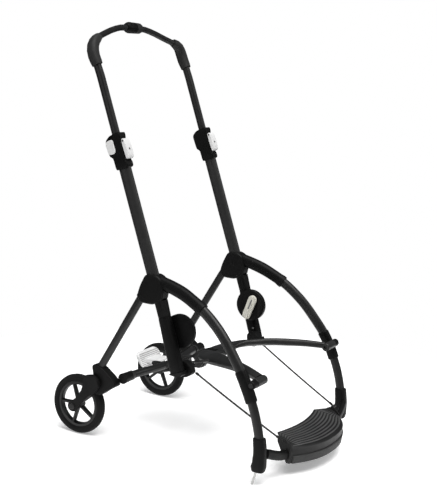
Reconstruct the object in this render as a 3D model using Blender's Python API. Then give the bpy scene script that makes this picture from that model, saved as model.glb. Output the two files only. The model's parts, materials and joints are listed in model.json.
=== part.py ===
"""Stroller frame: a folding pushchair frame with a telescoping handlebar, rear wheels,
a braked rear axle, a two-part folding yoke under the seat and a curved footrest.

Metres, +Z up. The stroller faces -Y. X is across the frame: "_r" is the stroller's right (-X)
and "_l" its left (+X). The floor is z = 0: both rear tyres and both front castor pins touch it.
Side-view points are written as (y, z) with y = 0 on the rear wheels' axle; SHIFT_Y then moves the
whole frame so that its origin is the centre of its footprint.
"""

import math

import bmesh
import bpy
from mathutils import Matrix, Vector

# ------------------------------------------------------------------ driving dimensions (metres)
SHIFT_Y = 0.284945         # moves the rear axle back so the footprint is centred on the origin
GAP = 0.0004              # clearance between pieces that touch
WHEEL_R = 0.080
WHEEL_X = 0.200
WHEEL_W = 0.024
RIM_R = 0.0612            # inside of the foam tyre
SIDE_X = 0.211            # centre plane of hub, thick tube and post
HANDLE_TOP = (-0.0465, 0.949)
HANDLE_LOW = (-0.2218, 0.467)
THICK = (0.0110, 0.0164)  # half width across, half depth fore and aft, of the thick handle tube
THIN = (0.0078, 0.0110)   # the same of the telescoping tube
ARC = (0.0100, 0.0135)    # front leg tube
SLEEVE = (0.0114, 0.0147)
LOWER = (0.0092, 0.0118)
STRUT = (0.0080, 0.0102)
STRUT_X = 0.2080
FOLD_PIVOT = (-0.195, 0.4062)   # rear leg in the hub
STRUT_LOW = (-0.0788, 0.2062)   # a point on the rear leg's centre line just above its bracket
AXLE_PIVOT = (-0.134, 0.172)    # rear yoke in the rear bracket
KNEE = (-0.252, 0.190)          # centre knee between the two yokes
YOKE_PIVOT = (-0.531, 0.243)    # front yoke in the leg sleeve
CASTOR_X = 0.243
PEDAL_PIVOT = (-0.1240, 0.1760)
TELESCOPE = 0.110               # how far the handlebar lowers
FOLD_DEG = 32.0                 # how far the rear legs swing forward
DISC_C = (-0.296, 0.324)
DISC_R = 0.0430
SEAT_FACE_X = 0.1817            # the seating pad on the disc
WIRE_BOSS = (-0.5760, 0.0930)   # where the brace wire ends on the footrest's side

X = Vector((1.0, 0.0, 0.0))
Y = Vector((0.0, 1.0, 0.0))
Z = Vector((0.0, 0.0, 1.0))


def srgb(v):
    v = v / 255.0
    return v / 12.92 if v <= 0.04045 else ((v + 0.055) / 1.055) ** 2.4


def material(name, shade, rough, metallic=0.0):
    shade = shade if isinstance(shade, tuple) else (shade, shade, shade)
    mat = bpy.data.materials.new(name)
    mat.use_nodes = True
    bsdf = mat.node_tree.nodes["Principled BSDF"]
    colour = tuple(srgb(c) for c in shade) + (1.0,)
    bsdf.inputs["Base Color"].default_value = colour
    bsdf.inputs["Roughness"].default_value = rough
    bsdf.inputs["Metallic"].default_value = metallic
    mat.diffuse_color = colour
    return mat


# ------------------------------------------------------------------ clear the scene
for old in list(bpy.data.objects):
    bpy.data.objects.remove(old, do_unlink=True)

TUBE = material("charcoal_tube", 58, 0.42, 0.35)
PLASTIC = material("dark_plastic", 34, 0.5)
GRIP = material("grip_foam", 44, 0.8)
WHITE = material("white_plastic", 226, 0.4)
FOAM = material("foam_tyre", 38, 0.85)
RIM = material("rim_plastic", 42, 0.5)
STEEL = material("bare_steel", (176, 176, 174), 0.3, 1.0)
BLACK_STEEL = material("black_steel", 30, 0.45, 0.4)
WIRE = material("brace_wire_black", 26, 0.45)
BUMPER = material("bumper_grey", 92, 0.6)
INSERT = material("insert_grey", 66, 0.55)

NODES = {}
AXES = {}


# ------------------------------------------------------------------ making shapes
def mesh_object(name, bm):
    bmesh.ops.connect_verts_nonplanar(bm, angle_limit=math.radians(0.05), faces=bm.faces)
    bmesh.ops.recalc_face_normals(bm, faces=bm.faces)
    mesh = bpy.data.meshes.new(name)
    bm.to_mesh(mesh)
    bm.free()
    obj = bpy.data.objects.new(name, mesh)
    bpy.context.scene.collection.objects.link(obj)
    return obj


def loft(rings, name="shape", loop=False):
    """A closed body through rings of points; loop joins the last ring to the first."""
    bm = bmesh.new()
    rows = [[bm.verts.new(p) for p in ring] for ring in rings]
    n = len(rows[0])
    pairs = list(zip(rows, rows[1:])) + ([(rows[-1], rows[0])] if loop else [])
    for a, b in pairs:
        for i in range(n):
            bm.faces.new((a[i], a[(i + 1) % n], b[(i + 1) % n], b[i]))
    if not loop:
        bm.faces.new(rows[0][::-1])
        bm.faces.new(rows[-1])
    return mesh_object(name, bm)


def superellipse(a, b, n, power):
    points = []
    for k in range(n):
        q = 2.0 * math.pi * (k + 0.5) / n
        c, s = math.cos(q), math.sin(q)
        points.append((a * math.copysign(abs(c) ** (2.0 / power), c), b * math.copysign(abs(s) ** (2.0 / power), s)))
    return points


def sweep(path, sizes, n=16, power=2.0, ref=X, name="shape"):
    """A tube along path. sizes gives (half width along ref, half width across it), one for all or one each."""
    path = [Vector(p) for p in path]
    if not isinstance(sizes, list):
        sizes = [sizes] * len(path)
    rings = []
    for i, c in enumerate(path):
        before = (c - path[i - 1]).normalized() if i else (path[1] - c).normalized()
        after = (path[i + 1] - c).normalized() if i + 1 < len(path) else before
        t = (before + after).normalized()
        side = (ref - t * ref.dot(t)).normalized()
        up = t.cross(side)
        rings.append([c + side * a + up * b for a, b in superellipse(sizes[i][0], sizes[i][1], n, power)])
    return loft(rings, name)


def rounded(path, size, end=0.004, n=16, power=2.0, ref=X, ends=(True, True)):
    """A tube whose ends are eased over a short length."""
    path = [Vector(p) for p in path]
    sizes = [size] * len(path)
    k = 1.0 - 0.45 * end / max(size)
    small = (size[0] - end * 0.55, size[1] - end * 0.55)
    if ends[0]:
        d = (path[1] - path[0]).normalized()
        path = [path[0], path[0] + d * end] + path[1:]
        sizes = [small, size] + sizes[1:]
    if ends[1]:
        d = (path[-2] - path[-1]).normalized()
        path = path[:-1] + [path[-1] + d * end, path[-1]]
        sizes = sizes[:-1] + [size, small]
    return sweep(path, sizes, n, power, ref)


def smooth_path(points, count):
    """count points on the Catmull-Rom curve through points, evenly by parameter."""
    pts = [Vector(p) for p in points]
    ext = [pts[0] * 2 - pts[1]] + pts + [pts[-1] * 2 - pts[-2]]
    out = []
    spans = len(pts) - 1
    for i in range(count):
        u = i * spans / (count - 1)
        k = min(int(u), spans - 1)
        t = u - k
        a, b, c, d = ext[k], ext[k + 1], ext[k + 2], ext[k + 3]
        out.append(0.5 * (2 * b + (c - a) * t + (2 * a - 5 * b + 4 * c - d) * t * t + (3 * b - a - 3 * c + d) * t ** 3))
    return out


def prism(outline, x0, x1, bevel=0.0, segments=1):
    """A plate whose side view is outline, between two planes across the frame."""
    bm = bmesh.new()
    a = [bm.verts.new((x0, y, z)) for y, z in outline]
    b = [bm.verts.new((x1, y, z)) for y, z in outline]
    n = len(a)
    bm.faces.new(a[::-1])
    bm.faces.new(b)
    for i in range(n):
        bm.faces.new((a[i], a[(i + 1) % n], b[(i + 1) % n], b[i]))
    if bevel:
        bmesh.ops.recalc_face_normals(bm, faces=bm.faces)
        rim = [e for e in bm.edges if all(len({round(v.co.x, 6) for v in e.verts}) == 1 for _ in (0,))]
        bmesh.ops.bevel(bm, geom=rim, offset=bevel, segments=segments, affect="EDGES", clamp_overlap=True)
    return mesh_object("plate", bm)


def slab(outline, z_of, thick, bevel=0.0):
    """A plate whose plan view is outline (x, y); z_of(x, y) is its top and thick its depth."""
    bm = bmesh.new()
    top = [bm.verts.new((x, y, z_of(x, y))) for x, y in outline]
    low = [bm.verts.new((x, y, z_of(x, y) - thick)) for x, y in outline]
    n = len(top)
    bm.faces.new(top)
    bm.faces.new(low[::-1])
    for i in range(n):
        bm.faces.new((top[i], low[i], low[(i + 1) % n], top[(i + 1) % n]))
    return mesh_object("slab", bm)


def turned(profile, y, z, n=32, x_sign=1.0, start=0.0):
    """A solid turned about a line across the frame through (y, z); profile is (x, radius), closed by its axis."""
    rings = []
    for x, r in profile:
        rings.append([(x * x_sign, y + r * math.cos(start + 2 * math.pi * k / n), z + r * math.sin(start + 2 * math.pi * k / n)) for k in range(n)])
    return loft(rings, "turned")


def ring_solid(profile, y, z, n=32, x_sign=1.0):
    """A ring turned about a line across the frame; profile is a closed loop of (x, radius)."""
    rings = []
    for k in range(n):
        q = 2 * math.pi * k / n
        rings.append([(x * x_sign, y + r * math.cos(q), z + r * math.sin(q)) for x, r in profile])
    return loft(rings, "ring", loop=True)


def rod(p0, p1, r, n=12, ease=0.0):
    p0, p1 = Vector(p0), Vector(p1)
    d = (p1 - p0).normalized()
    ref = X if abs(d.dot(X)) < 0.9 else Z
    if ease:
        path = [p0, p0 + d * ease, p1 - d * ease, p1]
        return sweep(path, [(r - ease, r - ease), (r, r), (r, r), (r - ease, r - ease)], n, 2.0, ref)
    return sweep([p0, p1], (r, r), n, 2.0, ref)


def combine(target, other, operation):
    """Joins or cuts target with other, which is used up."""
    mod = target.modifiers.new("combine", "BOOLEAN")
    mod.operation = operation
    mod.solver = "EXACT"
    mod.object = other
    other.hide_render = True
    other.display_type = "WIRE"
    bpy.context.view_layer.update()
    graph = bpy.context.evaluated_depsgraph_get()
    mesh = bpy.data.meshes.new_from_object(target.evaluated_get(graph))
    target.modifiers.clear()
    target.data = mesh
    bpy.data.objects.remove(other, do_unlink=True)
    return target


def join(target, *others):
    for other in others:
        combine(target, other, "UNION")
    return target


def cut(target, *others):
    for other in others:
        combine(target, other, "DIFFERENCE")
    return target


def node(name, obj, mat, axis=None):
    """Names a finished piece; axis is the (x, y, z) that its origin goes to."""
    obj.name = name
    obj.data.name = name
    obj.data.materials.clear()
    obj.data.materials.append(mat)
    for poly in obj.data.polygons:
        poly.material_index = 0
    obj.data.shade_smooth()
    obj.data.set_sharp_from_angle(angle=math.radians(35))
    NODES[name] = obj
    AXES[name] = Vector(axis) if axis else Vector((0.0, 0.0, 0.0))
    return obj


def lerp(a, b, t):
    return tuple(p + (q - p) * t for p, q in zip(a, b))


def along(t, x):
    """A point on the handle line: t = 0 at its top, 1 at the hub."""
    y, z = lerp(HANDLE_TOP, HANDLE_LOW, t)
    return (x, y, z)


HANDLE_DIR = (Vector((0, *HANDLE_TOP)) - Vector((0, *HANDLE_LOW))).normalized()
HANDLE_LEN = (Vector((0, *HANDLE_TOP)) - Vector((0, *HANDLE_LOW))).length


def handle_frame(x, along_up, back):
    """A point given by the distance up the handle line from z = 0.76 and the distance to its rear."""
    y0 = HANDLE_TOP[0] + (0.76 - HANDLE_TOP[1]) * (HANDLE_LOW[0] - HANDLE_TOP[0]) / (HANDLE_LOW[1] - HANDLE_TOP[1])
    base = Vector((x, y0, 0.76))
    rear = Vector((0, HANDLE_DIR.z, -HANDLE_DIR.y))
    return base + HANDLE_DIR * along_up + rear * back


def handle_outline(points):
    """Turns (back, up) pairs on the handle line into a side view."""
    out = []
    for back, up in points:
        p = handle_frame(0.0, up, back)
        out.append((p.y, p.z))
    return out


# ------------------------------------------------------------------ front leg: arc, sleeve and lower tube
ARC_LINE = [(0.2105, -0.262, 0.442), (0.2130, -0.311, 0.427), (0.2160, -0.339, 0.4145), (0.2190, -0.366, 0.4005),
            (0.2220, -0.391, 0.384), (0.2250, -0.414, 0.3655), (0.2285, -0.437, 0.344), (0.2320, -0.458, 0.320),
            (0.2360, -0.479, 0.293), (0.2390, -0.497, 0.2685), (0.2415, -0.517, 0.233), (0.2420, -0.533, 0.198),
            (0.2430, -0.547, 0.159), (0.2430, -0.557, 0.117), (0.2430, -0.561, 0.092)]


def arc_point(u):
    """A point on the front leg's line, u running from 0 to 14."""
    return smooth_path(ARC_LINE, 281)[int(round(u * 20))]


def arc_run(a, b, count):
    whole = smooth_path(ARC_LINE, 281)
    return [whole[min(280, int(round(20 * (a + (b - a) * i / (count - 1)))))] for i in range(count)]


def mirrored(points, s):
    return [Vector((p[0] * s, p[1], p[2])) for p in points]


def grown(size, by):
    return (size[0] + by, size[1] + by)


# front crossbar: between the two castor housings, dipping forward under the footrest
BAR = [(0.2330, -0.5735, 0.0795), (0.2180, -0.5765, 0.0745), (0.2000, -0.5800, 0.0675), (0.1700, -0.5830, 0.0580), (0.1500, -0.5845, 0.0555), (0.1000, -0.6000, 0.0545),
       (0.0500, -0.6120, 0.0545), (0.0000, -0.6155, 0.0545)]
bar_half = smooth_path(BAR, 9)
bar_line = bar_half + mirrored(bar_half[::-1][1:], -1.0)
BAR_SIZE = (0.0118, 0.0078)


def bar_cutter():
    """The crossbar with clearance all round and past both ends."""
    beyond = (bar_line[0] - bar_line[1]).normalized() * 0.0006
    ends = [bar_line[0] + beyond, bar_line[-1] + Vector((-beyond.x, beyond.y, beyond.z))]
    return sweep([ends[0]] + bar_line[1:-1] + [ends[1]], grown(BAR_SIZE, GAP), 14, 2.8, Z)


for s, tag in ((-1.0, "_r"), (1.0, "_l")):
    # upper tube: from inside the hub's collar to inside the sleeve
    tube = sweep(mirrored(arc_run(2.4, 9.45, 13), s), ARC, 16)
    node("leg_upper" + tag, tube, TUBE)

    # sleeve with its pivot boss
    sleeve = rounded(mirrored(arc_run(8.95, 10.95, 5), s), SLEEVE, 0.003, 14, 2.6)
    boss = turned([(0.2300, 0.0112), (0.2312, 0.0122), (0.2520, 0.0122), (0.2532, 0.0110)], *YOKE_PIVOT, 20, s)
    sleeve = join(sleeve, boss)
    sleeve = cut(sleeve, sweep(mirrored(arc_run(8.6, 9.48, 4), s), grown(ARC, GAP), 16))
    sleeve = cut(sleeve, sweep(mirrored(arc_run(10.52, 11.4, 4), s), grown(LOWER, GAP), 16))
    sleeve = cut(sleeve, turned([(0.2200, 0.0045), (0.2600, 0.0045)], *YOKE_PIVOT, 16, s))
    node("leg_sleeve" + tag, sleeve, PLASTIC)

    pin = turned([(0.1850, 0.0034), (0.1856, 0.0040), (0.2536, 0.0040), (0.2536, 0.0066), (0.2548, 0.0066), (0.2556, 0.0056)],
                 *YOKE_PIVOT, 16, s)
    node("pivot_pin" + tag, pin, BLACK_STEEL, (0, *YOKE_PIVOT))

    # lower tube: from inside the sleeve to inside the castor housing
    node("leg_lower" + tag, sweep(mirrored(arc_run(10.55, 14.0, 7), s), LOWER, 14), TUBE)

    # castor housing: a tapered block on the lower tube's end, with a collar and a lower lip
    c = CASTOR_X
    levels = [(0.1185, -0.5578, 0.0114, 0.0140), (0.1165, -0.5578, 0.0126, 0.0151), (0.0920, -0.5608, 0.0134, 0.0155),
              (0.0800, -0.5618, 0.0138, 0.0158), (0.0570, -0.5606, 0.0140, 0.0168), (0.0480, -0.5592, 0.0138, 0.0184),
              (0.0385, -0.5590, 0.0124, 0.0162), (0.0360, -0.5590, 0.0110, 0.0142)]
    housing = loft([[Vector((s * c + a, y + b, z)) for a, b in superellipse(hx, hy, 20, 3.0)] for z, y, hx, hy in levels])
    housing = cut(housing, sweep(mirrored(arc_run(12.5, 14.0, 4), s) + [Vector((s * 0.243, -0.5613, 0.0900))], grown(LOWER, GAP), 16))
    # bare castor pin: leans back a little, its tip is on the floor
    top, tip = Vector((s * c, -0.5643, 0.0700)), Vector((s * c, -0.5440, 0.0000))
    d = (tip - top).normalized()
    housing = cut(housing, rod(top - d * 0.001, top + d * 0.060, 0.0034, 12))
    housing = cut(housing, bar_cutter())
    node("wheel_mount" + tag, housing, PLASTIC)

    around = [X * (0.0029 * math.cos(math.pi * i / 6)) + X.cross(d) * (0.0029 * math.sin(math.pi * i / 6)) for i in range(12)]
    rings = [[top + v for v in around], [top + d * 0.040 + v for v in around]]
    rings.append([top + v - d * ((top + v).z / d.z) for v in around])
    node("castor_pin" + tag, loft(rings), STEEL)

# ------------------------------------------------------------------ side hub, thick tube, post, seat adapter
HUB_SIDE = [(-0.2095, 0.4610), (-0.2400, 0.4640), (-0.2560, 0.4560), (-0.2650, 0.4240), (-0.2600, 0.3990),
            (-0.2333, 0.3875), (-0.2020, 0.3880), (-0.1905, 0.3935), (-0.1845, 0.4080), (-0.1935, 0.4320)]
POST_TOP, POST_LOW = (-0.2495, 0.4000), (-0.3058, 0.2262)

for s, tag in ((-1.0, "_r"), (1.0, "_l")):
    hub = prism(HUB_SIDE, s * 0.1945, s * 0.2265, 0.003, 1)
    arm = sweep(mirrored([(0.2105, -0.245, 0.445)] + arc_run(0.35, 3.3, 6), s),
                [(0.0138, 0.0165)] * 2 + [(0.0134, 0.0166), (0.0129, 0.0163), (0.0127, 0.0160), (0.0126, 0.0160), (0.0126, 0.0158)], 16, 2.2)
    hub = join(hub, arm)
    collar = sweep(mirrored(arc_run(2.9, 3.42, 3), s), [(0.0128, 0.0162), (0.0136, 0.0172), (0.0134, 0.0170)], 16, 2.2)
    hub = join(hub, collar)
    # neck over the lower end of the post
    u = (Vector((0, *POST_LOW)) - Vector((0, *POST_TOP))).normalized()
    neck_a = Vector((s * SIDE_X, *POST_TOP)) + u * 0.002
    neck_b = Vector((s * SIDE_X, *POST_TOP)) + u * 0.042
    hub = join(hub, sweep([neck_a, neck_b], [(0.0144, 0.0158), (0.0136, 0.0148)], 16, 3.0))
    # sockets: the arc tube, the thick tube and the post
    hub = cut(hub, sweep(mirrored(arc_run(2.35, 3.8, 6), s), grown(ARC, GAP), 16))
    low = Vector(along(1.0, s * SIDE_X))
    hub = cut(hub, sweep([low - HANDLE_DIR * 0.0215, low + HANDLE_DIR * 0.03], grown(THICK, GAP), 20, 2.3))
    hub = cut(hub, sweep([neck_a + u * 0.016, neck_b + u * 0.05], (0.0115 + GAP, 0.0125 + GAP), 16, 3.0))
    # clevis slot for the rear strut: a wedge that lets it swing forward
    p, q = Vector((0, *FOLD_PIVOT)), Vector((0, *STRUT_LOW))
    rest = (q - p).normalized()
    a = -math.radians(FOLD_DEG + 1.0)
    turned_dir = Vector((0, rest.y * math.cos(a) - rest.z * math.sin(a), rest.y * math.sin(a) + rest.z * math.cos(a)))
    r = STRUT[1] + 0.0016
    wedge = []
    for k in range(9):
        q0 = math.atan2(rest.z, rest.y) + math.pi / 2 + math.pi * k / 8
        wedge.append((p.y + r * math.cos(q0), p.z + r * math.sin(q0)))
    n1 = Vector((0, -turned_dir.z, turned_dir.y))
    n0 = Vector((0, -rest.z, rest.y))
    far1 = p + turned_dir * 0.07 - n1 * r
    far0 = p + rest * 0.07 + n0 * r
    wedge = [(p.y + n0.y * r, p.z + n0.z * r)] + wedge[1:-1]
    wedge_points = [(far0.y, far0.z)] + wedge + [(p.y - n1.y * r, p.z - n1.z * r), (far1.y, far1.z)]
    hub = cut(hub, prism(wedge_points, s * (STRUT_X - STRUT[0] - 0.0008), s * (STRUT_X + STRUT[0] + 0.0008)))
    hub = cut(hub, turned([(0.1965, 0.0052), (0.2225, 0.0052)], *FOLD_PIVOT, 16, s))
    node("hub" + tag, hub, PLASTIC)

    # thick tube, bored for the telescoping tube
    start = Vector(along(1.0, s * SIDE_X)) - HANDLE_DIR * 0.021
    y_top, z_top = handle_outline([(0.0, -0.040)])[0]
    stop = Vector((s * SIDE_X, y_top, z_top))
    outer = sweep([start, stop], THICK, 20, 2.3)
    bore = sweep([start + HANDLE_DIR * 0.030, stop + HANDLE_DIR * 0.02], (THICK[0] - 0.0018, THICK[1] - 0.0018), 20, 2.3)
    node("upright" + tag, cut(outer, bore), TUBE)

    # post: straight box-like tube from the hub down to the foot
    post_a = neck_a + u * 0.0165
    post_b = Vector((s * SIDE_X, *POST_LOW)) + u * 0.0
    post = sweep([post_a, neck_b + u * 0.0004, neck_b + u * 0.0009, neck_b + u * 0.0070, lerp(neck_b, post_b, 0.45), post_b],
                 [(0.0115, 0.0125), (0.0115, 0.0125), (0.0133, 0.0146), (0.0137, 0.0151), (0.0146, 0.0168), (0.0146, 0.0170)], 16, 3.2)
    node("post" + tag, post, PLASTIC)

    # post foot: a shoe round the post's lower end, reaching in to hold the brace wire
    sole = prism([(-0.2894, 0.2200), (-0.2905, 0.2180), (-0.3060, 0.2160), (-0.3225, 0.2185), (-0.3260, 0.2235), (-0.3245, 0.2298), (-0.3222, 0.2303)],
                 s * 0.1850, s * 0.2245)
    block = prism([(-0.2940, 0.2400), (-0.3000, 0.2480), (-0.3160, 0.2515), (-0.3290, 0.2430), (-0.3370, 0.2290), (-0.3360, 0.2200), (-0.3220, 0.2100), (-0.3080, 0.2095), (-0.2970, 0.2180)],
                  s * 0.1735, s * 0.1957, 0.0012)
    node("post_foot" + tag, join(block, sole), PLASTIC)

    # seat adapter disc on the inner side of the post, with a recess for its lever's hub
    disc = turned([(0.1955, 0.0300), (0.1950, DISC_R - 0.002), (0.1935, DISC_R), (0.1835, DISC_R), (0.1820, DISC_R - 0.0015), (0.1820, 0.0100)],
                  *DISC_C, 30, s)
    # low seating pad on the disc's front half, clear of the lever: the seat unit's plate lies on it
    pad = []
    for k in range(9):
        q0 = math.radians(128.0 + 13.0 * k)
        pad.append((DISC_C[0] + 0.0395 * math.cos(q0), DISC_C[1] + 0.0395 * math.sin(q0)))
    disc = join(disc, prism(pad, s * 0.1850, s * SEAT_FACE_X))
    node("seat_disc" + tag, disc, PLASTIC)

    # seat lock lever: a flat rounded bar on the disc's inner face, turning on the disc's centre
    lever_dir = Vector((0, 0.34, -0.94)).normalized()
    tip_a = Vector((0, DISC_C[0] - 0.0025, DISC_C[1])) - lever_dir * 0.0182
    tip_b = Vector((0, DISC_C[0] - 0.0025, DISC_C[1])) + lever_dir * 0.0350
    side = Vector((0, -lever_dir.z, lever_dir.y))
    shape = []
    for k in range(9):
        q0 = math.pi * k / 8
        v = tip_a + side * (0.0125 * math.cos(q0)) - lever_dir * (0.0125 * math.sin(q0))
        shape.append((v.y, v.z))
    for k in range(9):
        q0 = math.pi * k / 8
        v = tip_b - side * (0.0115 * math.cos(q0)) + lever_dir * (0.005 * math.sin(q0))
        shape.append((v.y, v.z))
    node("seat_lock" + tag, prism(shape, s * 0.1814, s * 0.1750, 0.0012), WHITE, (s * 0.1782, *DISC_C))

# ------------------------------------------------------------------ telescoping clamp
CLAMP_BODY = [(-0.0125, 0.0430), (-0.0180, 0.0415), (-0.0180, 0.0310), (-0.0160, 0.0275), (-0.0162, -0.0290), (-0.0184, -0.0325),
              (-0.0184, -0.0465), (0.0182, -0.0480), (0.0188, -0.0150), (0.0275, -0.0095), (0.0295, 0.0300), (0.0140, 0.0405)]
LEVER_PIN = (-0.0222, 0.0190)
for s, tag in ((-1.0, "_r"), (1.0, "_l")):
    body = prism(handle_outline(CLAMP_BODY), s * 0.1965, s * 0.2255, 0.002)
    bore_lo = handle_frame(s * SIDE_X, -0.070, 0.0)
    bore_mid = handle_frame(s * SIDE_X, -0.0385, 0.0)
    bore_hi = handle_frame(s * SIDE_X, 0.070, 0.0)
    body = cut(body, sweep([bore_lo, bore_mid], grown(THICK, GAP), 20, 2.3))
    body = cut(body, sweep([bore_mid - HANDLE_DIR * 0.004, bore_hi], grown(THIN, 0.0005), 16, 2.2))
    # pocket for the release slide on the rear block and a bore for the lever's pin
    pocket = prism(handle_outline([(0.0042, -0.0066), (0.0330, -0.0066), (0.0330, 0.0345), (0.0042, 0.0370)]), s * 0.2236, s * 0.2300)
    body = cut(body, pocket)
    pin_y, pin_z = handle_outline([LEVER_PIN])[0]
    ears = prism(handle_outline([(-0.0150, 0.0262), (-0.0225, 0.0248), (-0.0262, 0.0200), (-0.0255, 0.0145), (-0.0150, 0.0105)]), s * 0.2085, s * 0.2135)
    body = join(body, ears)
    body = cut(body, turned([(0.19, 0.0028), (0.24, 0.0028)], pin_y, pin_z, 12, s))
    node("clamp" + tag, body, PLASTIC)
    node("clamp_pin" + tag, turned([(0.1975, 0.0019), (0.1980, 0.0023), (0.2245, 0.0023), (0.2250, 0.0019)], pin_y, pin_z, 12, s), BLACK_STEEL, (s * 0.211, pin_y, pin_z))

    lever_shape = [(-0.0172, 0.0130), (-0.0176, 0.0200), (-0.0198, 0.0240), (-0.0232, 0.0250), (-0.0258, 0.0190), (-0.0278, 0.0060), (-0.0280, -0.0100),
                   (-0.0268, -0.0215), (-0.0245, -0.0258), (-0.0206, -0.0268), (-0.0190, -0.0262)]
    lever = prism(handle_outline(lever_shape), s * 0.1985, s * 0.2235, 0.0014)
    lever = cut(lever, prism(handle_outline([(-0.0100, 0.0085), (-0.0100, 0.0300), (-0.0300, 0.0300), (-0.0300, 0.0085)]), s * 0.2078, s * 0.2142))
    lever = cut(lever, turned([(0.19, 0.0027), (0.24, 0.0027)], pin_y, pin_z, 12, s))
    node("clamp_lever" + tag, lever, WHITE, (s * 0.211, pin_y, pin_z))

    slide = prism(handle_outline([(0.0048, -0.0058), (0.0262, -0.0058), (0.0274, 0.0060), (0.0284, 0.0270), (0.0150, 0.0300), (0.0048, 0.0290)]), s * 0.2241, s * 0.2278, 0.0010)
    node("fold_trigger" + tag, slide, WHITE, (s * 0.2255, *handle_outline([(0.018, 0.010)])[0]))

# ------------------------------------------------------------------ handlebar
GRIP_LINE = [(0.2110, -0.0390, 0.9660), (0.2115, -0.0350, 0.9740), (0.2115, -0.0285, 0.9860), (0.2100, -0.0235, 1.0000),
             (0.2060, -0.0205, 1.0125), (0.1985, -0.0190, 1.0225), (0.1880, -0.0170, 1.0295), (0.1770, -0.0142, 1.0342)]
BAR_LINE = [(0.2000, -0.0200, 1.0210), (0.1880, -0.0165, 1.0285), (0.1760, -0.0132, 1.0335), (0.1600, -0.0092, 1.0385), (0.1440, -0.0062, 1.0430),
            (0.1280, -0.0040, 1.0475), (0.1050, -0.0012, 1.0540), (0.0780, 0.0012, 1.0600), (0.0570, 0.0025, 1.0635), (0.0220, 0.0030, 1.0652)]
for s, tag in ((-1.0, "_r"), (1.0, "_l")):
    low = handle_frame(s * SIDE_X, -0.115, 0.0)
    high = Vector(along(0.02, s * SIDE_X))
    bend = mirrored([(0.2113, -0.0370, 0.9700), (0.2113, -0.0300, 0.9850), (0.2095, -0.0240, 1.0000), (0.2050, -0.0208, 1.0125)] + BAR_LINE[1:], s)
    path = [low, high] + bend
    sizes = [THIN, THIN] + [(0.0078, 0.0105), (0.0078, 0.0098), (0.0078, 0.0090), (0.0078, 0.0085)] + [(0.0078, 0.0078)] * (len(BAR_LINE) - 1)
    # the section keeps its shape round the corner: its reference turns with the tube
    rings = []
    pts = [Vector(p) for p in path]
    for i, c in enumerate(pts):
        before = (c - pts[i - 1]).normalized() if i else (pts[1] - c).normalized()
        after = (pts[i + 1] - c).normalized() if i + 1 < len(pts) else before
        t = (before + after).normalized()
        up = Vector((0, HANDLE_DIR.z, -HANDLE_DIR.y))
        up = (up - t * up.dot(t)).normalized()
        side = up.cross(t)
        a, b = sizes[i]
        rings.append([c + side * x + up * y for x, y in superellipse(a, b, 16, 2.2)])
    node("handle_tube" + tag, loft(rings), TUBE)

    grip_pts = mirrored(GRIP_LINE, s)
    outer_sizes = [(0.0122, 0.0136), (0.0130, 0.0146), (0.0134, 0.0152), (0.0136, 0.0154), (0.0135, 0.0150), (0.0130, 0.0142), (0.0121, 0.0130), (0.0104, 0.0108)]
    rings = []
    for i, c in enumerate(grip_pts):
        before = (c - grip_pts[i - 1]).normalized() if i else (grip_pts[1] - c).normalized()
        after = (grip_pts[i + 1] - c).normalized() if i + 1 < len(grip_pts) else before
        t = (before + after).normalized()
        up = Vector((0, HANDLE_DIR.z, -HANDLE_DIR.y))
        up = (up - t * up.dot(t)).normalized()
        side = up.cross(t)
        a, b = outer_sizes[i]
        rings.append([c + side * x + up * y for x, y in superellipse(a, b, 16, 2.3)])
    grip = loft(rings)
    rings = []
    ext = [pts[1] - HANDLE_DIR * 0.02, pts[1]] + pts[2:10]
    esz = [THIN, THIN] + sizes[2:10]
    for i, c in enumerate(ext):
        before = (c - ext[i - 1]).normalized() if i else (ext[1] - c).normalized()
        after = (ext[i + 1] - c).normalized() if i + 1 < len(ext) else before
        t = (before + after).normalized()
        up = Vector((0, HANDLE_DIR.z, -HANDLE_DIR.y))
        up = (up - t * up.dot(t)).normalized()
        side = up.cross(t)
        a, b = esz[i]
        rings.append([c + side * x + up * y for x, y in superellipse(a + GAP, b + GAP, 16, 2.2)])
    node("grip" + tag, cut(grip, loft(rings)), GRIP)

HUB_YZ = (0.0030, 1.0652)
hub_profile = [(-0.0320, 0.0096), (-0.0280, 0.0120), (-0.0230, 0.0140), (-0.0210, 0.0145), (0.0060, 0.0145), (0.0075, 0.0135), (0.0075, 0.0106), (0.0250, 0.0106), (0.0255, 0.0092)]
barrel = turned(hub_profile, *HUB_YZ, 18)
for s in (-1.0, 1.0):
    end_points = mirrored([BAR_LINE[-1], BAR_LINE[-2], BAR_LINE[-3]], s)
    end_points[0] = Vector((s * 0.0216, HUB_YZ[0], HUB_YZ[1]))
    barrel = cut(barrel, sweep(end_points, (0.0078 + GAP, 0.0078 + GAP), 16, 2.2, Z))
node("handle_hub", barrel, PLASTIC)
insert = ring_solid([(0.0080, 0.0110), (0.0080, 0.0136), (0.0100, 0.0143), (0.0270, 0.0140), (0.0330, 0.0120), (0.0370, 0.0100), (0.0370, 0.0093), (0.0262, 0.0093), (0.0258, 0.0110)], *HUB_YZ, 18)
node("hub_insert", insert, INSERT)

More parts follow.
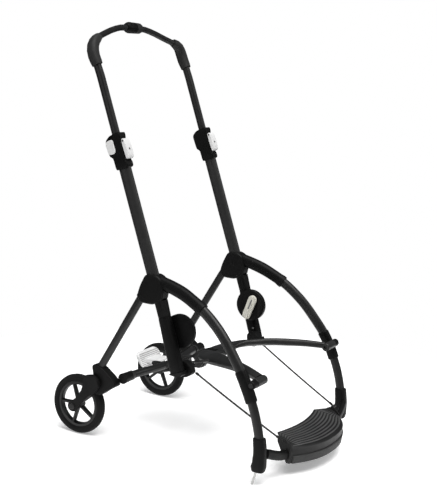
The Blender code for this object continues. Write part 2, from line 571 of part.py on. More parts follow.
# ------------------------------------------------------------------ rear legs, wheels
BRACKET = [(-0.0500, 0.1960), (-0.0590, 0.2030), (-0.0680, 0.2030), (-0.0860, 0.1950), (-0.1150, 0.1740), (-0.1270, 0.1600),
           (-0.1260, 0.1530), (-0.1020, 0.1390), (-0.0780, 0.1200), (-0.0560, 0.1240), (-0.0530, 0.1500), (-0.0550, 0.1760)]
ARM = [(-0.0330, 0.1700), (-0.0620, 0.1770), (-0.0790, 0.1660), (-0.0840, 0.1500), (-0.0740, 0.1330), (-0.0480, 0.1140), (-0.0250, 0.0900),
       (-0.0150, 0.0700), (0.0010, 0.0640), (0.0150, 0.0700), (0.0160, 0.0860), (-0.0090, 0.1040), (-0.0270, 0.1290), (-0.0320, 0.1520)]
for s, tag in ((-1.0, "_r"), (1.0, "_l")):
    p, q = Vector((s * STRUT_X, *FOLD_PIVOT)), Vector((s * STRUT_X, *STRUT_LOW))
    d = (q - p).normalized()
    path = [p - d * 0.0085, p - d * 0.006, p + d * 0.012, q + d * 0.020]
    strut = sweep(path, [(0.0076, 0.0080), (0.0080, 0.0098), STRUT, STRUT], 16, 2.6)
    strut = join(strut, turned([(0.1972, 0.0040), (0.2220, 0.0040)], *FOLD_PIVOT, 16, s))
    node("rear_strut" + tag, strut, TUBE, (0, *FOLD_PIVOT))

    bracket = prism(BRACKET, s * 0.1935, s * 0.2205, 0.003)
    bearing = turned([(0.1660, 0.0118), (0.1668, 0.0124), (0.1980, 0.0138)], AXLE_PIVOT[0], AXLE_PIVOT[1], 20, s)
    bracket = join(bracket, bearing)
    bracket = cut(bracket, turned([(0.1600, 0.0845), (0.2150, 0.0845)], 0.0, WHEEL_R, 48, s))
    bracket = cut(bracket, sweep([q - d * 0.03, q + d * 0.0205], grown(STRUT, GAP), 16, 2.6))
    bracket = cut(bracket, turned([(0.1600, 0.0101), (0.1900, 0.0101)], *AXLE_PIVOT, 20, s))
    node("rear_bracket" + tag, bracket, PLASTIC, (0, *FOLD_PIVOT))

    arm = prism(ARM, s * 0.2210, s * 0.2320, 0.002)
    inner = turned([(0.2145, 0.0125), (0.2215, 0.0140)], 0.0, WHEEL_R, 20, s)
    arm = join(arm, inner)
    arm = cut(arm, turned([(0.2100, 0.0045), (0.2400, 0.0045)], 0.0, WHEEL_R, 16, s))
    node("wheel_arm" + tag, arm, PLASTIC, (0, *FOLD_PIVOT))

    bolt = turned([(0.1860, 0.0066), (0.1868, 0.0075), (0.1888, 0.0075), (0.1888, 0.0040), (0.2324, 0.0040), (0.2324, 0.0078), (0.2340, 0.0078), (0.2352, 0.0062)],
                  0.0, WHEEL_R, 16, s)
    node("axle_bolt" + tag, bolt, BLACK_STEEL, (0, 0.0, WHEEL_R))

    w = WHEEL_W / 2
    tread = []
    for k in range(7):
        a = math.pi * k / 6
        tread.append((WHEEL_X - w * math.cos(a), WHEEL_R - 0.0095 + 0.0095 * math.sin(a) ** 0.8))
    tyre_profile = [(WHEEL_X - w * 0.72, RIM_R), (WHEEL_X - w * 0.94, RIM_R + 0.003)] + tread + [(WHEEL_X + w * 0.94, RIM_R + 0.003), (WHEEL_X + w * 0.72, RIM_R)]
    node("tyre" + tag, ring_solid(tyre_profile, 0.0, WHEEL_R, 32, s), FOAM, (s * WHEEL_X, 0.0, WHEEL_R))

    band = ring_solid([(WHEEL_X - 0.0082, RIM_R - GAP), (WHEEL_X - 0.0086, 0.0545), (WHEEL_X - 0.0060, 0.0525), (WHEEL_X + 0.0060, 0.0525),
                       (WHEEL_X + 0.0086, 0.0545), (WHEEL_X + 0.0082, RIM_R - GAP)], 0.0, WHEEL_R, 32, s)
    hub = turned([(WHEEL_X - 0.0108, 0.0115), (WHEEL_X - 0.0098, 0.0130), (WHEEL_X + 0.0125, 0.0130), (WHEEL_X + 0.0135, 0.0115)], 0.0, WHEEL_R, 16, s)
    for k in range(5):
        a = math.radians((103 if s > 0 else -1) + 72 * k)
        o = Vector((s * WHEEL_X, 0.0, WHEEL_R))
        e = Vector((0, math.cos(a), math.sin(a)))
        hub = join(hub, sweep([o + e * 0.008, o + e * 0.0545], [(0.0072, 0.0048), (0.0062, 0.0038)], 8, 3.0))
    rim = join(band, hub)
    rim = cut(rim, turned([(WHEEL_X - 0.02, 0.0046), (WHEEL_X + 0.02, 0.0046)], 0.0, WHEEL_R, 16, s))
    node("rim" + tag, rim, RIM, (s * WHEEL_X, 0.0, WHEEL_R))

# ------------------------------------------------------------------ rear yoke: axle tube with its forward spine
AXLE_LINE = [(0.1600, -0.1345, 0.1722), (0.1400, -0.1375, 0.1728), (0.1150, -0.1430, 0.1740), (0.0850, -0.1490, 0.1740), (0.0500, -0.1530, 0.1732), (0.0200, -0.1545, 0.1728)]
axle_points = [Vector((0.1580, *AXLE_PIVOT))] + [Vector(p) for p in AXLE_LINE[1:]] + [Vector((-p[0], p[1], p[2])) for p in AXLE_LINE[1:][::-1]] + [Vector((-0.1580, *AXLE_PIVOT))]
axle = sweep(axle_points, (0.0102, 0.0102), 16, 2.0, Z)
for s in (-1.0, 1.0):
    # dark ring and journal that turns in the bracket
    axle = join(axle, turned([(0.1560, 0.0126), (0.1650, 0.0126)], *AXLE_PIVOT, 16, s))
    axle = join(axle, turned([(0.1600, 0.0095), (0.1885, 0.0095)], *AXLE_PIVOT, 20, s))
SPINE = [(-0.1480, 0.1835), (-0.1700, 0.1905), (-0.2000, 0.2025), (-0.2150, 0.2060), (-0.2520, 0.2065), (-0.2610, 0.2030), (-0.2665, 0.1920), (-0.2630, 0.1825),
         (-0.2520, 0.1780), (-0.2000, 0.1740), (-0.1700, 0.1650), (-0.1480, 0.1625)]
axle = join(axle, prism(SPINE, -0.0080, 0.0080, 0.0015))
for s in (-1.0, 1.0):
    wing = [(s * 0.004, -0.150), (s * 0.048, -0.152), (s * 0.030, -0.168), (s * 0.004, -0.188)]
    axle = join(axle, slab(wing if s > 0 else wing[::-1], lambda x, y: 0.1790, 0.011))
    ear = prism([(-0.1560, 0.1740), (-0.1500, 0.1832), (-0.1260, 0.1822), (-0.1185, 0.1790), (-0.1175, 0.1735), (-0.1230, 0.1690), (-0.1440, 0.1670)],
                s * 0.0308, s * 0.0378, 0.001)
    axle = join(axle, ear)
    axle = cut(axle, turned([(0.0300, 0.0029), (0.0353, 0.0029)], *PEDAL_PIVOT, 12, s))
# slot for the knee pin: as long as the pin needs while the two yokes fold at even rates
slot = [(KNEE[0] - 0.0042, KNEE[1] + 0.0010), (KNEE[0] - 0.0028, KNEE[1] - 0.0040), (KNEE[0] + 0.0070, KNEE[1] - 0.0072), (KNEE[0] + 0.0240, KNEE[1] - 0.0072),
        (KNEE[0] + 0.0335, KNEE[1] - 0.0030), (KNEE[0] + 0.0355, KNEE[1] + 0.0040), (KNEE[0] + 0.0330, KNEE[1] + 0.0105), (KNEE[0] + 0.0240, KNEE[1] + 0.0132),
        (KNEE[0] + 0.0140, KNEE[1] + 0.0125), (KNEE[0] - 0.0015, KNEE[1] + 0.0040)]
axle = cut(axle, prism(slot, -0.0200, 0.0200))
node("rear_axle", axle, TUBE, (0, *AXLE_PIVOT))

# brake pedal: a wide slanted tread plate behind the axle tube, its hinge arm on two trunnions
PEDAL_PLATE = [(-0.0720, 0.1975), (-0.0790, 0.1965), (-0.0870, 0.1835), (-0.0950, 0.1705), (-0.1030, 0.1570), (-0.0985, 0.1550), (-0.0900, 0.1665), (-0.0815, 0.1790),
               (-0.0740, 0.1895), (-0.0700, 0.1950)]
PEDAL_ARM = [(-0.1290, 0.1760), (-0.1245, 0.1806), (-0.1120, 0.1800), (-0.0865, 0.1795), (-0.0885, 0.1725), (-0.1150, 0.1705), (-0.1255, 0.1708)]
pedal = join(prism(PEDAL_PLATE, -0.0500, 0.0500, 0.0012), prism(PEDAL_ARM, -0.0285, 0.0285))
for s in (-1.0, 1.0):
    pedal = join(pedal, turned([(0.0240, 0.0024), (0.0347, 0.0024)], *PEDAL_PIVOT, 12, s))
node("brake_pedal", pedal, WHITE, (0, *PEDAL_PIVOT))

# ------------------------------------------------------------------ front yoke: a wishbone with the knee lugs, a rear lip bar and two pivot barrels
WISH = [(0.000, -0.2900, 0.2265, 0.0360), (0.050, -0.3030, 0.2320, 0.0300), (0.090, -0.3350, 0.2400, 0.0240), (0.120, -0.3810, 0.2460, 0.0190),
        (0.143, -0.4310, 0.2490, 0.0150), (0.168, -0.4810, 0.2490, 0.0120), (0.1905, -0.5235, 0.2455, 0.0105)]
WISH_DEEP = [0.0068, 0.0074, 0.0086, 0.0096, 0.0098, 0.0090, 0.0085]     # half depth at the same stations
TILT = math.radians(20.0)
half_line = smooth_path([p[:3] for p in WISH], 13)
half_wide = [WISH[int(i / 2)][3] * (1 - (i / 2) % 1) + WISH[min(int(i / 2) + 1, 6)][3] * ((i / 2) % 1) for i in range(13)]
half_deep = [WISH_DEEP[int(i / 2)] * (1 - (i / 2) % 1) + WISH_DEEP[min(int(i / 2) + 1, 6)] * ((i / 2) % 1) for i in range(13)]
full_line = mirrored(half_line[::-1][:-1], -1.0) + half_line
full_wide = half_wide[::-1][:-1] + half_wide
full_deep = half_deep[::-1][:-1] + half_deep
rings = []
for i, c in enumerate(full_line):
    before = (c - full_line[i - 1]).normalized() if i else (full_line[1] - c).normalized()
    after = (full_line[i + 1] - c).normalized() if i + 1 < len(full_line) else before
    t = (before + after).normalized()
    out = t.cross(Z).normalized()            # towards the front and the inside of the wishbone
    up = out.cross(t).normalized()
    tilt = TILT * min(1.0, abs(c.x) / 0.09)
    o2 = out * math.cos(tilt) + up * math.sin(tilt)
    u2 = up * math.cos(tilt) - out * math.sin(tilt)
    rings.append([c + o2 * a + u2 * b for a, b in superellipse(full_wide[i], full_deep[i], 10, 3.2)])
wish = loft(rings)
wish = cut(wish, prism([(-0.2300, 0.2000), (-0.2300, 0.2600), (-0.2985, 0.2600), (-0.2985, 0.2000)], -0.0100, 0.0100))
for s in (-1.0, 1.0):
    wish = join(wish, rod((s * 0.1820, *YOKE_PIVOT), (s * 0.2285, *YOKE_PIVOT), 0.0110, 16, 0.0008))
    lug = prism([(-0.2335, 0.2145), (-0.2330, 0.2085), (-0.2400, 0.2010), (-0.2430, 0.1850), (-0.2500, 0.1802), (-0.2570, 0.1812), (-0.2620, 0.1880),
                 (-0.2700, 0.2030), (-0.3060, 0.2240), (-0.3000, 0.2272), (-0.2500, 0.2278)], s * 0.0103, s * 0.0168)
    wish = join(wish, lug)
LIP = [(0.1040, -0.3640, 0.2440), (0.1300, -0.3200, 0.2370), (0.1290, -0.2850, 0.2275), (0.1120, -0.2530, 0.2185), (0.0800, -0.2390, 0.2135), (0.0400, -0.2360, 0.2120), (0.0000, -0.2355, 0.2118)]
lip_half = smooth_path(LIP, 10)
wish = join(wish, sweep(lip_half + mirrored(lip_half[::-1][1:], -1.0), (0.0030, 0.0030), 8, 2.0, Z))
wish = cut(wish, rod((-0.30, *YOKE_PIVOT), (0.30, *YOKE_PIVOT), 0.0045, 16))
wish = cut(wish, rod((-0.0185, *KNEE), (0.0185, *KNEE), 0.0034, 12))
node("cross_frame", wish, TUBE, (0, *YOKE_PIVOT))
node("knee_pin", rod((-0.0164, *KNEE), (0.0164, *KNEE), 0.0030, 12), BLACK_STEEL, (0, *KNEE))

# ------------------------------------------------------------------ footrest on the front crossbar
node("front_crossbar", sweep(bar_line, BAR_SIZE, 14, 2.8, Z), PLASTIC)


def front_edge(x):
    """y of the footrest's front top edge."""
    return -0.6480 + 0.0485 * (abs(x) / 0.147) ** 2.4


def rear_edge(x):
    return -0.5560 + 0.0165 * (abs(x) / 0.110) ** 2.0 if abs(x) < 0.110 else -0.5395 - 0.0300 * (abs(x) - 0.110) / 0.037


def foot_section(x, inset=0.0):
    yf, yr = front_edge(x), rear_edge(x)
    t = 0.0032
    return [(x, yr, 0.0905), (x, yr + (yf - yr) * 0.5, 0.0842), (x, yf + 0.0040, 0.0755), (x, yf, 0.0715), (x, yf + 0.0015, 0.0540), (x, yf + 0.0046, 0.0330),
            (x, yf + 0.0046 + t, 0.0330), (x, yf + 0.0015 + t, 0.0540), (x, yf + 0.0040 + t, 0.0715 - 0.001), (x, yr + (yf - yr) * 0.5, 0.0842 - t), (x, yr, 0.0905 - t)]


# side walls: the shell's section widens into a full cheek at each end
CHEEK = [(-0.5600, 0.0885), (-0.5680, 0.0925), (-0.5830, 0.0925), (-0.5950, 0.0820), (-0.5995, 0.0600), (-0.5960, 0.0330),
         (-0.5870, 0.0335), (-0.5825, 0.0420), (-0.5740, 0.0560), (-0.5665, 0.0720), (-0.5610, 0.0830)]


def cheek_section(x, inset):
    cy, cz = -0.5770, 0.0680
    return [(x, cy + (y - cy) * inset, cz + (z - cz) * inset) for y, z in CHEEK]


stations = [-0.1448 + 0.0181 * i for i in range(17)]
foot = loft([cheek_section(-0.1500, 0.975), cheek_section(-0.1490, 1.0), cheek_section(-0.1456, 1.0)] + [foot_section(x) for x in stations]
            + [cheek_section(0.1456, 1.0), cheek_section(0.1490, 1.0), cheek_section(0.1500, 0.975)])
for s in (-1.0, 1.0):
    # boss that the brace wire ends on
    foot = join(foot, rod((s * 0.1462, *WIRE_BOSS), (s * 0.1645, *WIRE_BOSS), 0.0045, 10))
foot = cut(foot, bar_cutter())
node("footrest", foot, PLASTIC)

stations = [-0.1425 + 0.0178125 * i for i in range(17)]
strip = []
for x in stations:
    yf = front_edge(x)
    y0, y1 = yf + 0.0015 + 0.0031 * (0.0540 - 0.0525) / 0.021, yf + 0.0015 + 0.0031 * (0.0540 - 0.0320) / 0.021
    strip.append([(x, y0 - GAP, 0.0525), (x, y0 - GAP - 0.0032, 0.0515), (x, y1 - GAP - 0.0032, 0.0330), (x, y1 - GAP, 0.0320)])
node("footrest_bumper", loft(strip), BUMPER)

# ------------------------------------------------------------------ brace wires, held at both ends
WIRE_TOP = (0.1785, -0.3392, 0.2225)
for s, tag in ((-1.0, "_r"), (1.0, "_l")):
    a, b = Vector((s * WIRE_TOP[0], WIRE_TOP[1], WIRE_TOP[2])), Vector((s * 0.1590, *WIRE_BOSS))
    b = b - (b - a).normalized() * 0.0060
    curve = bpy.data.curves.new("wire", "CURVE")
    curve.dimensions = "3D"
    curve.bevel_depth = 0.0019
    curve.bevel_resolution = 2
    curve.use_fill_caps = True
    line = curve.splines.new("POLY")
    count = 9
    line.points.add(count - 1)
    for i in range(count):
        t = i / (count - 1)
        p = a.lerp(b, t)
        p.z -= 0.0020 * 4 * t * (1 - t)
        line.points[i].co = (p.x, p.y, p.z, 1.0)
    obj = bpy.data.objects.new("brace_wire" + tag, curve)
    bpy.context.scene.collection.objects.link(obj)
    curve.materials.append(WIRE)
    NODES["brace_wire" + tag] = obj
    AXES["brace_wire" + tag] = Vector((0.0, 0.0, 0.0))

# ------------------------------------------------------------------ bodies: an empty on each joint's axis, the pieces parented to it
BODIES = {
    "handlebar": ((0.0, *HANDLE_TOP), ["handle_tube_r", "handle_tube_l", "grip_r", "grip_l", "handle_hub", "hub_insert"], None),
    "rear_legs": ((0.0, *FOLD_PIVOT), ["rear_strut_r", "rear_strut_l", "rear_bracket_r", "rear_bracket_l", "wheel_arm_r", "wheel_arm_l", "axle_bolt_r", "axle_bolt_l"], None),
    "rear_yoke": ((0.0, *AXLE_PIVOT), ["rear_axle"], "rear_legs"),
    "pedal": ((0.0, *PEDAL_PIVOT), ["brake_pedal"], "rear_yoke"),
    "front_yoke": ((0.0, *YOKE_PIVOT), ["cross_frame", "knee_pin"], None),
    "wheel_r": ((-WHEEL_X, 0.0, WHEEL_R), ["tyre_r", "rim_r"], "rear_legs"),
    "wheel_l": ((WHEEL_X, 0.0, WHEEL_R), ["tyre_l", "rim_l"], "rear_legs"),
}
shift = Vector((0.0, SHIFT_Y, 0.0))
empties, places, owner = {}, {}, {}
for body, (place, members, parent) in BODIES.items():
    empty = bpy.data.objects.new(body + "_axis", None)
    empty.empty_display_size = 0.02
    empty.hide_render = True
    bpy.context.scene.collection.objects.link(empty)
    empties[body], places[body] = empty, Vector(place) + shift
    for member in members:
        owner[member] = body
    if parent:
        empty.parent = empties[parent]
        empty.location = places[body] - places[parent]
    else:
        empty.location = places[body]
for name, obj in NODES.items():
    origin = AXES[name]
    obj.data.transform(Matrix.Translation(-origin))
    world = origin + shift
    if name in owner:
        obj.parent = empties[owner[name]]
        obj.location = world - places[owner[name]]
    else:
        obj.location = world
bpy.context.view_layer.update()
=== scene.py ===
"""Looks of the stroller frame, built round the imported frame.

The visible pieces repeat the CAD's own dimensions with rounder sections, softer edges and small
details. Working coordinates have y = 0 on the rear wheels' axle, as in the CAD; node() moves each
finished piece to its place.
"""

import json
import math

import bmesh
import bpy
from mathutils import Matrix, Vector


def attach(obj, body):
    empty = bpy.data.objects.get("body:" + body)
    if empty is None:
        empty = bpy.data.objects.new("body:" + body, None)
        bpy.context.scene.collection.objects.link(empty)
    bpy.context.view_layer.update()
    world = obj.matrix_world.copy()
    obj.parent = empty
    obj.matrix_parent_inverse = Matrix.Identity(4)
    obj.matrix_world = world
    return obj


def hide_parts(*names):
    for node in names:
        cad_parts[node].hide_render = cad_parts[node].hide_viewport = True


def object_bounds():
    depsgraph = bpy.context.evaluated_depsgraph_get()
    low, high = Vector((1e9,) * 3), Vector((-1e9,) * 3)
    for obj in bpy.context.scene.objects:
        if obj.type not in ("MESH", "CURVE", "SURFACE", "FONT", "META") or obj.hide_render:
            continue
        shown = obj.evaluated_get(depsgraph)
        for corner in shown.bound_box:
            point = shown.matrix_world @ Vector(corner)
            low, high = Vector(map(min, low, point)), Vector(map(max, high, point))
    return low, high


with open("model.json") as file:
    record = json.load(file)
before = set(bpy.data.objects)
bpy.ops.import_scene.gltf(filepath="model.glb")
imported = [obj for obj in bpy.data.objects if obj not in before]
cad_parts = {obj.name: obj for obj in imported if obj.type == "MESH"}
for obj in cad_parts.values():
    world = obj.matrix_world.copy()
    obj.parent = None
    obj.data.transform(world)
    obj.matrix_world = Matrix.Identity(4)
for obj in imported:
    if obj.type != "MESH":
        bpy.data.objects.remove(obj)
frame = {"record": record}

CAD_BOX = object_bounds()
BODY_OF = {n: b for b, ns in frame["record"]["behaviour"]["bodies"].items() for n in ns}

# ------------------------------------------------------------------ dimensions (metres)
SHIFT_Y = 0.284945         # moves the rear axle back so the footprint is centred on the origin
GAP = 0.0004              # clearance between pieces that touch
WHEEL_R = 0.080
WHEEL_X = 0.200
WHEEL_W = 0.024
RIM_R = 0.0612            # inside of the foam tyre
SIDE_X = 0.211            # centre plane of hub, thick tube and post
HANDLE_TOP = (-0.0465, 0.949)
HANDLE_LOW = (-0.2218, 0.467)
THICK = (0.0110, 0.0164)  # half width across, half depth fore and aft, of the thick handle tube
THIN = (0.0078, 0.0110)   # the same of the telescoping tube
ARC = (0.0100, 0.0135)    # front leg tube
SLEEVE = (0.0114, 0.0147)
LOWER = (0.0092, 0.0118)
STRUT = (0.0080, 0.0102)
STRUT_X = 0.2080
FOLD_PIVOT = (-0.195, 0.4062)   # rear leg in the hub
STRUT_LOW = (-0.0788, 0.2062)   # a point on the rear leg's centre line just above its bracket
AXLE_PIVOT = (-0.134, 0.172)    # rear yoke in the rear bracket
KNEE = (-0.252, 0.190)          # centre knee between the two yokes
YOKE_PIVOT = (-0.531, 0.243)    # front yoke in the leg sleeve
CASTOR_X = 0.243
PEDAL_PIVOT = (-0.1240, 0.1760)
TELESCOPE = 0.110               # how far the handlebar lowers
FOLD_DEG = 32.0                 # how far the rear legs swing forward
DISC_C = (-0.296, 0.324)
DISC_R = 0.0430
SEAT_FACE_X = 0.1817            # the seating pad on the disc
WIRE_BOSS = (-0.5760, 0.0930)   # where the brace wire ends on the footrest's side

X = Vector((1.0, 0.0, 0.0))
Y = Vector((0.0, 1.0, 0.0))
Z = Vector((0.0, 0.0, 1.0))

# ------------------------------------------------------------------ materials
def srgb(v):
    v = v / 255.0
    return v / 12.92 if v <= 0.04045 else ((v + 0.055) / 1.055) ** 2.4


def rgb(v):
    c = v if isinstance(v, tuple) else (v, v, v)
    return tuple(srgb(x) for x in c) + (1.0,)


class Maker:
    """Builds one node tree step by step."""

    def __init__(self, name, rough, metallic=0.0, **sockets):
        self.mat = bpy.data.materials.new(name)
        self.mat.use_nodes = True
        self.tree = self.mat.node_tree
        self.bsdf = self.tree.nodes["Principled BSDF"]
        self.bsdf.inputs["Roughness"].default_value = rough
        self.bsdf.inputs["Metallic"].default_value = metallic
        for key, value in sockets.items():
            self.bsdf.inputs[key.replace("_", " ")].default_value = value
        self.coord = self.tree.nodes.new("ShaderNodeTexCoord").outputs["Object"]
        self.height = None

    def new(self, kind, **values):
        n = self.tree.nodes.new(kind)
        for key, value in values.items():
            if key in n.inputs.keys():
                n.inputs[key].default_value = value
            else:
                setattr(n, key, value)
        return n

    def link(self, a, b):
        self.tree.links.new(a, b)

    def scaled(self, sx=1.0, sy=1.0, sz=1.0, turn=(0.0, 0.0, 0.0)):
        m = self.new("ShaderNodeMapping")
        m.inputs["Scale"].default_value = (sx, sy, sz)
        m.inputs["Rotation"].default_value = turn
        self.link(self.coord, m.inputs["Vector"])
        return m.outputs["Vector"]

    def noise(self, scale, detail=2.0, rough=0.5, vector=None):
        n = self.new("ShaderNodeTexNoise")
        n.inputs["Scale"].default_value = scale
        n.inputs["Detail"].default_value = detail
        n.inputs["Roughness"].default_value = rough
        self.link(vector if vector is not None else self.coord, n.inputs["Vector"])
        return n.outputs["Fac"]

    def cells(self, scale, feature="F1", vector=None):
        n = self.new("ShaderNodeTexVoronoi")
        n.feature = feature
        n.inputs["Scale"].default_value = scale
        self.link(vector if vector is not None else self.coord, n.inputs["Vector"])
        return n.outputs["Distance"]

    def ramp(self, value, stops):
        r = self.new("ShaderNodeValToRGB")
        el = r.color_ramp.elements
        while len(el) < len(stops):
            el.new(0.5)
        for e, (pos, col) in zip(el, stops):
            e.position = pos
            e.color = col if len(col) == 4 else tuple(col) + (1.0,)
        self.link(value, r.inputs["Fac"])
        return r.outputs["Color"]

    def span(self, value, lo, hi):
        m = self.new("ShaderNodeMapRange")
        m.inputs["To Min"].default_value = lo
        m.inputs["To Max"].default_value = hi
        self.link(value, m.inputs["Value"])
        return m.outputs["Result"]

    def math(self, op, a, b):
        m = self.new("ShaderNodeMath")
        m.operation = op
        for i, v in enumerate((a, b)):
            if isinstance(v, (int, float)):
                m.inputs[i].default_value = v
            else:
                self.link(v, m.inputs[i])
        return m.outputs["Value"]

    def mix(self, fac, a, b):
        m = self.new("ShaderNodeMix")
        m.data_type = "RGBA"
        if isinstance(fac, (int, float)):
            m.inputs[0].default_value = fac
        else:
            self.link(fac, m.inputs[0])
        for i, v in ((6, a), (7, b)):
            if isinstance(v, tuple):
                m.inputs[i].default_value = v
            else:
                self.link(v, m.inputs[i])
        return m.outputs[2]

    def edges(self, width_lo=0.52, width_hi=0.62):
        """1 on convex edges, 0 elsewhere."""
        g = self.new("ShaderNodeNewGeometry")
        m = self.new("ShaderNodeMapRange")
        m.inputs["From Min"].default_value = width_lo
        m.inputs["From Max"].default_value = width_hi
        self.link(g.outputs["Pointiness"], m.inputs["Value"])
        return m.outputs["Result"]

    def bump(self, value, distance, strength=1.0):
        b = self.new("ShaderNodeBump")
        b.inputs["Strength"].default_value = strength
        b.inputs["Distance"].default_value = distance
        self.link(value, b.inputs["Height"])
        if self.height is not None:
            self.link(self.height, b.inputs["Normal"])
        self.height = b.outputs["Normal"]

    def done(self, colour=None, rough=None):
        if colour is not None:
            if isinstance(colour, tuple):
                self.bsdf.inputs["Base Color"].default_value = colour
            else:
                self.link(colour, self.bsdf.inputs["Base Color"])
        if rough is not None:
            self.link(rough, self.bsdf.inputs["Roughness"])
        if self.height is not None:
            self.link(self.height, self.bsdf.inputs["Normal"])
        return self.mat


def coated(name, lo, hi, rough=0.38):
    """Powder coated tube: fine orange peel, soft mottling, a little wear on the edges."""
    k = Maker(name, rough, 0.0, Specular_IOR_Level=0.26, Coat_Weight=0.03, Coat_Roughness=0.3)
    col = k.ramp(k.noise(26.0, 3.0), [(0.3, rgb(lo)), (0.7, rgb(hi))])
    speck = k.ramp(k.noise(1400.0, 2.0), [(0.44, (0, 0, 0, 1)), (0.62, (1, 1, 1, 1))])
    col = k.mix(k.math("MULTIPLY", speck, 0.10), col, rgb(70))
    col = k.mix(k.math("MULTIPLY", k.edges(), 0.22), col, rgb(78))
    k.bump(k.noise(900.0, 2.0), 0.00006, 0.55)
    return k.done(col, k.span(k.noise(60.0, 3.0), rough - 0.06, rough + 0.1))


def moulded(name, lo, hi, rough=0.5, grain=1100.0, depth=0.00009, edge=46, spec=0.20, shade_below=None):
    """Injection moulded plastic with a fine spark-eroded grain; convex edges are lightened towards the edge colour as a
    painted highlight, and the optional (z low, z high, colour) triple paints shade below a height.
    """
    k = Maker(name, rough, 0.0, Specular_IOR_Level=spec)
    col = k.ramp(k.noise(18.0, 3.0), [(0.3, rgb(lo)), (0.7, rgb(hi))])
    # painted shade: below the given height the colour turns to the given dark, so a lower face reads as shaded
    if shade_below:
        split = k.new("ShaderNodeSeparateXYZ")
        k.link(k.coord, split.inputs["Vector"])
        m = k.new("ShaderNodeMapRange")
        m.inputs["From Min"].default_value = shade_below[0]
        m.inputs["From Max"].default_value = shade_below[1]
        k.link(split.outputs["Z"], m.inputs["Value"])
        col = k.mix(m.outputs["Result"], rgb(shade_below[2]), col)
    # painted highlight: convex edges lightened towards the edge colour
    col = k.mix(k.math("MULTIPLY", k.edges(0.53, 0.66), 0.3), col, rgb(edge))
    k.bump(k.cells(grain), depth, 0.6)
    k.bump(k.noise(240.0, 3.0), 0.00005, 0.4)
    return k.done(col, k.span(k.noise(90.0, 4.0), rough - 0.07, rough + 0.09))


def white_shell(name, lo, hi, rough=0.33):
    k = Maker(name, rough, 0.0, Coat_Weight=0.15, Coat_Roughness=0.2)
    col = k.ramp(k.noise(34.0, 4.0), [(0.25, rgb(lo)), (0.75, rgb(hi))])
    dirt = k.ramp(k.noise(210.0, 5.0, 0.7), [(0.58, (0, 0, 0, 1)), (0.78, (1, 1, 1, 1))])
    col = k.mix(k.math("MULTIPLY", dirt, 0.16), col, rgb(150))
    k.bump(k.noise(700.0, 2.0), 0.00004, 0.4)
    return k.done(col, k.span(k.noise(70.0, 3.0), rough - 0.05, rough + 0.12))


def foam(name, lo, hi):
    """Closed-cell foam: cells, pits and scuffs."""
    k = Maker(name, 0.8, 0.0, Specular_IOR_Level=0.14, Sheen_Weight=0.03, Sheen_Roughness=0.6)
    cell = k.cells(620.0)
    col = k.ramp(k.noise(40.0, 4.0), [(0.3, rgb(lo)), (0.7, rgb(hi))])
    pits = k.ramp(cell, [(0.05, (1, 1, 1, 1)), (0.30, (0, 0, 0, 1))])
    col = k.mix(k.math("MULTIPLY", pits, 0.35), col, rgb(7))
    col = k.mix(k.math("MULTIPLY", k.edges(0.53, 0.66), 0.2), col, rgb(60))
    k.bump(cell, 0.00022, 0.7)
    k.bump(k.noise(170.0, 4.0), 0.00018, 0.5)
    return k.done(col, k.span(k.noise(120.0, 3.0), 0.68, 0.92))


def leathery(name, lo, hi):
    """Soft handle cover: pebbled grain with fine creases."""
    k = Maker(name, 0.62, 0.0, Specular_IOR_Level=0.35, Sheen_Weight=0.08, Sheen_Roughness=0.45)
    grain = k.cells(430.0, "DISTANCE_TO_EDGE")
    col = k.ramp(k.noise(30.0, 4.0), [(0.3, rgb(lo)), (0.7, rgb(hi))])
    crease = k.ramp(grain, [(0.0, (1, 1, 1, 1)), (0.12, (0, 0, 0, 1))])
    col = k.mix(k.math("MULTIPLY", crease, 0.5), col, rgb(10))
    k.bump(grain, 0.00026, 0.75)
    k.bump(k.noise(900.0, 3.0), 0.00008, 0.5)
    return k.done(col, k.span(k.noise(80.0, 3.0), 0.52, 0.74))


def turned_steel(name):
    """Bare steel with fine turning lines round the X axis and a few dull spots."""
    k = Maker(name, 0.28, 1.0)
    lines = k.noise(1.0, 3.0, 0.6, k.scaled(2600.0, 30.0, 30.0))
    col = k.ramp(lines, [(0.3, rgb(150)), (0.7, rgb((196, 196, 194)))])
    spot = k.ramp(k.noise(95.0, 5.0), [(0.55, (0, 0, 0, 1)), (0.72, (1, 1, 1, 1))])
    col = k.mix(k.math("MULTIPLY", spot, 0.35), col, rgb((112, 106, 98)))
    k.bump(lines, 0.00003, 0.5)
    return k.done(col, k.span(k.noise(140.0, 4.0), 0.2, 0.42))


def twisted(name):
    """Black coated wire rope: the strands show as fine slanted lines."""
    k = Maker(name, 0.42, 0.1)
    wave = k.new("ShaderNodeTexWave")
    wave.bands_direction = "DIAGONAL"
    wave.inputs["Scale"].default_value = 260.0
    k.link(k.coord, wave.inputs["Vector"])
    col = k.ramp(wave.outputs["Fac"], [(0.2, rgb(6)), (0.8, rgb(22))])
    k.bump(wave.outputs["Fac"], 0.00020, 0.8)
    return k.done(col, k.span(k.noise(160.0, 2.0), 0.34, 0.52))


TUBE = coated("tube_charcoal", 22, 30)
PLASTIC = moulded("plastic_dark", 5, 8, spec=0.14)
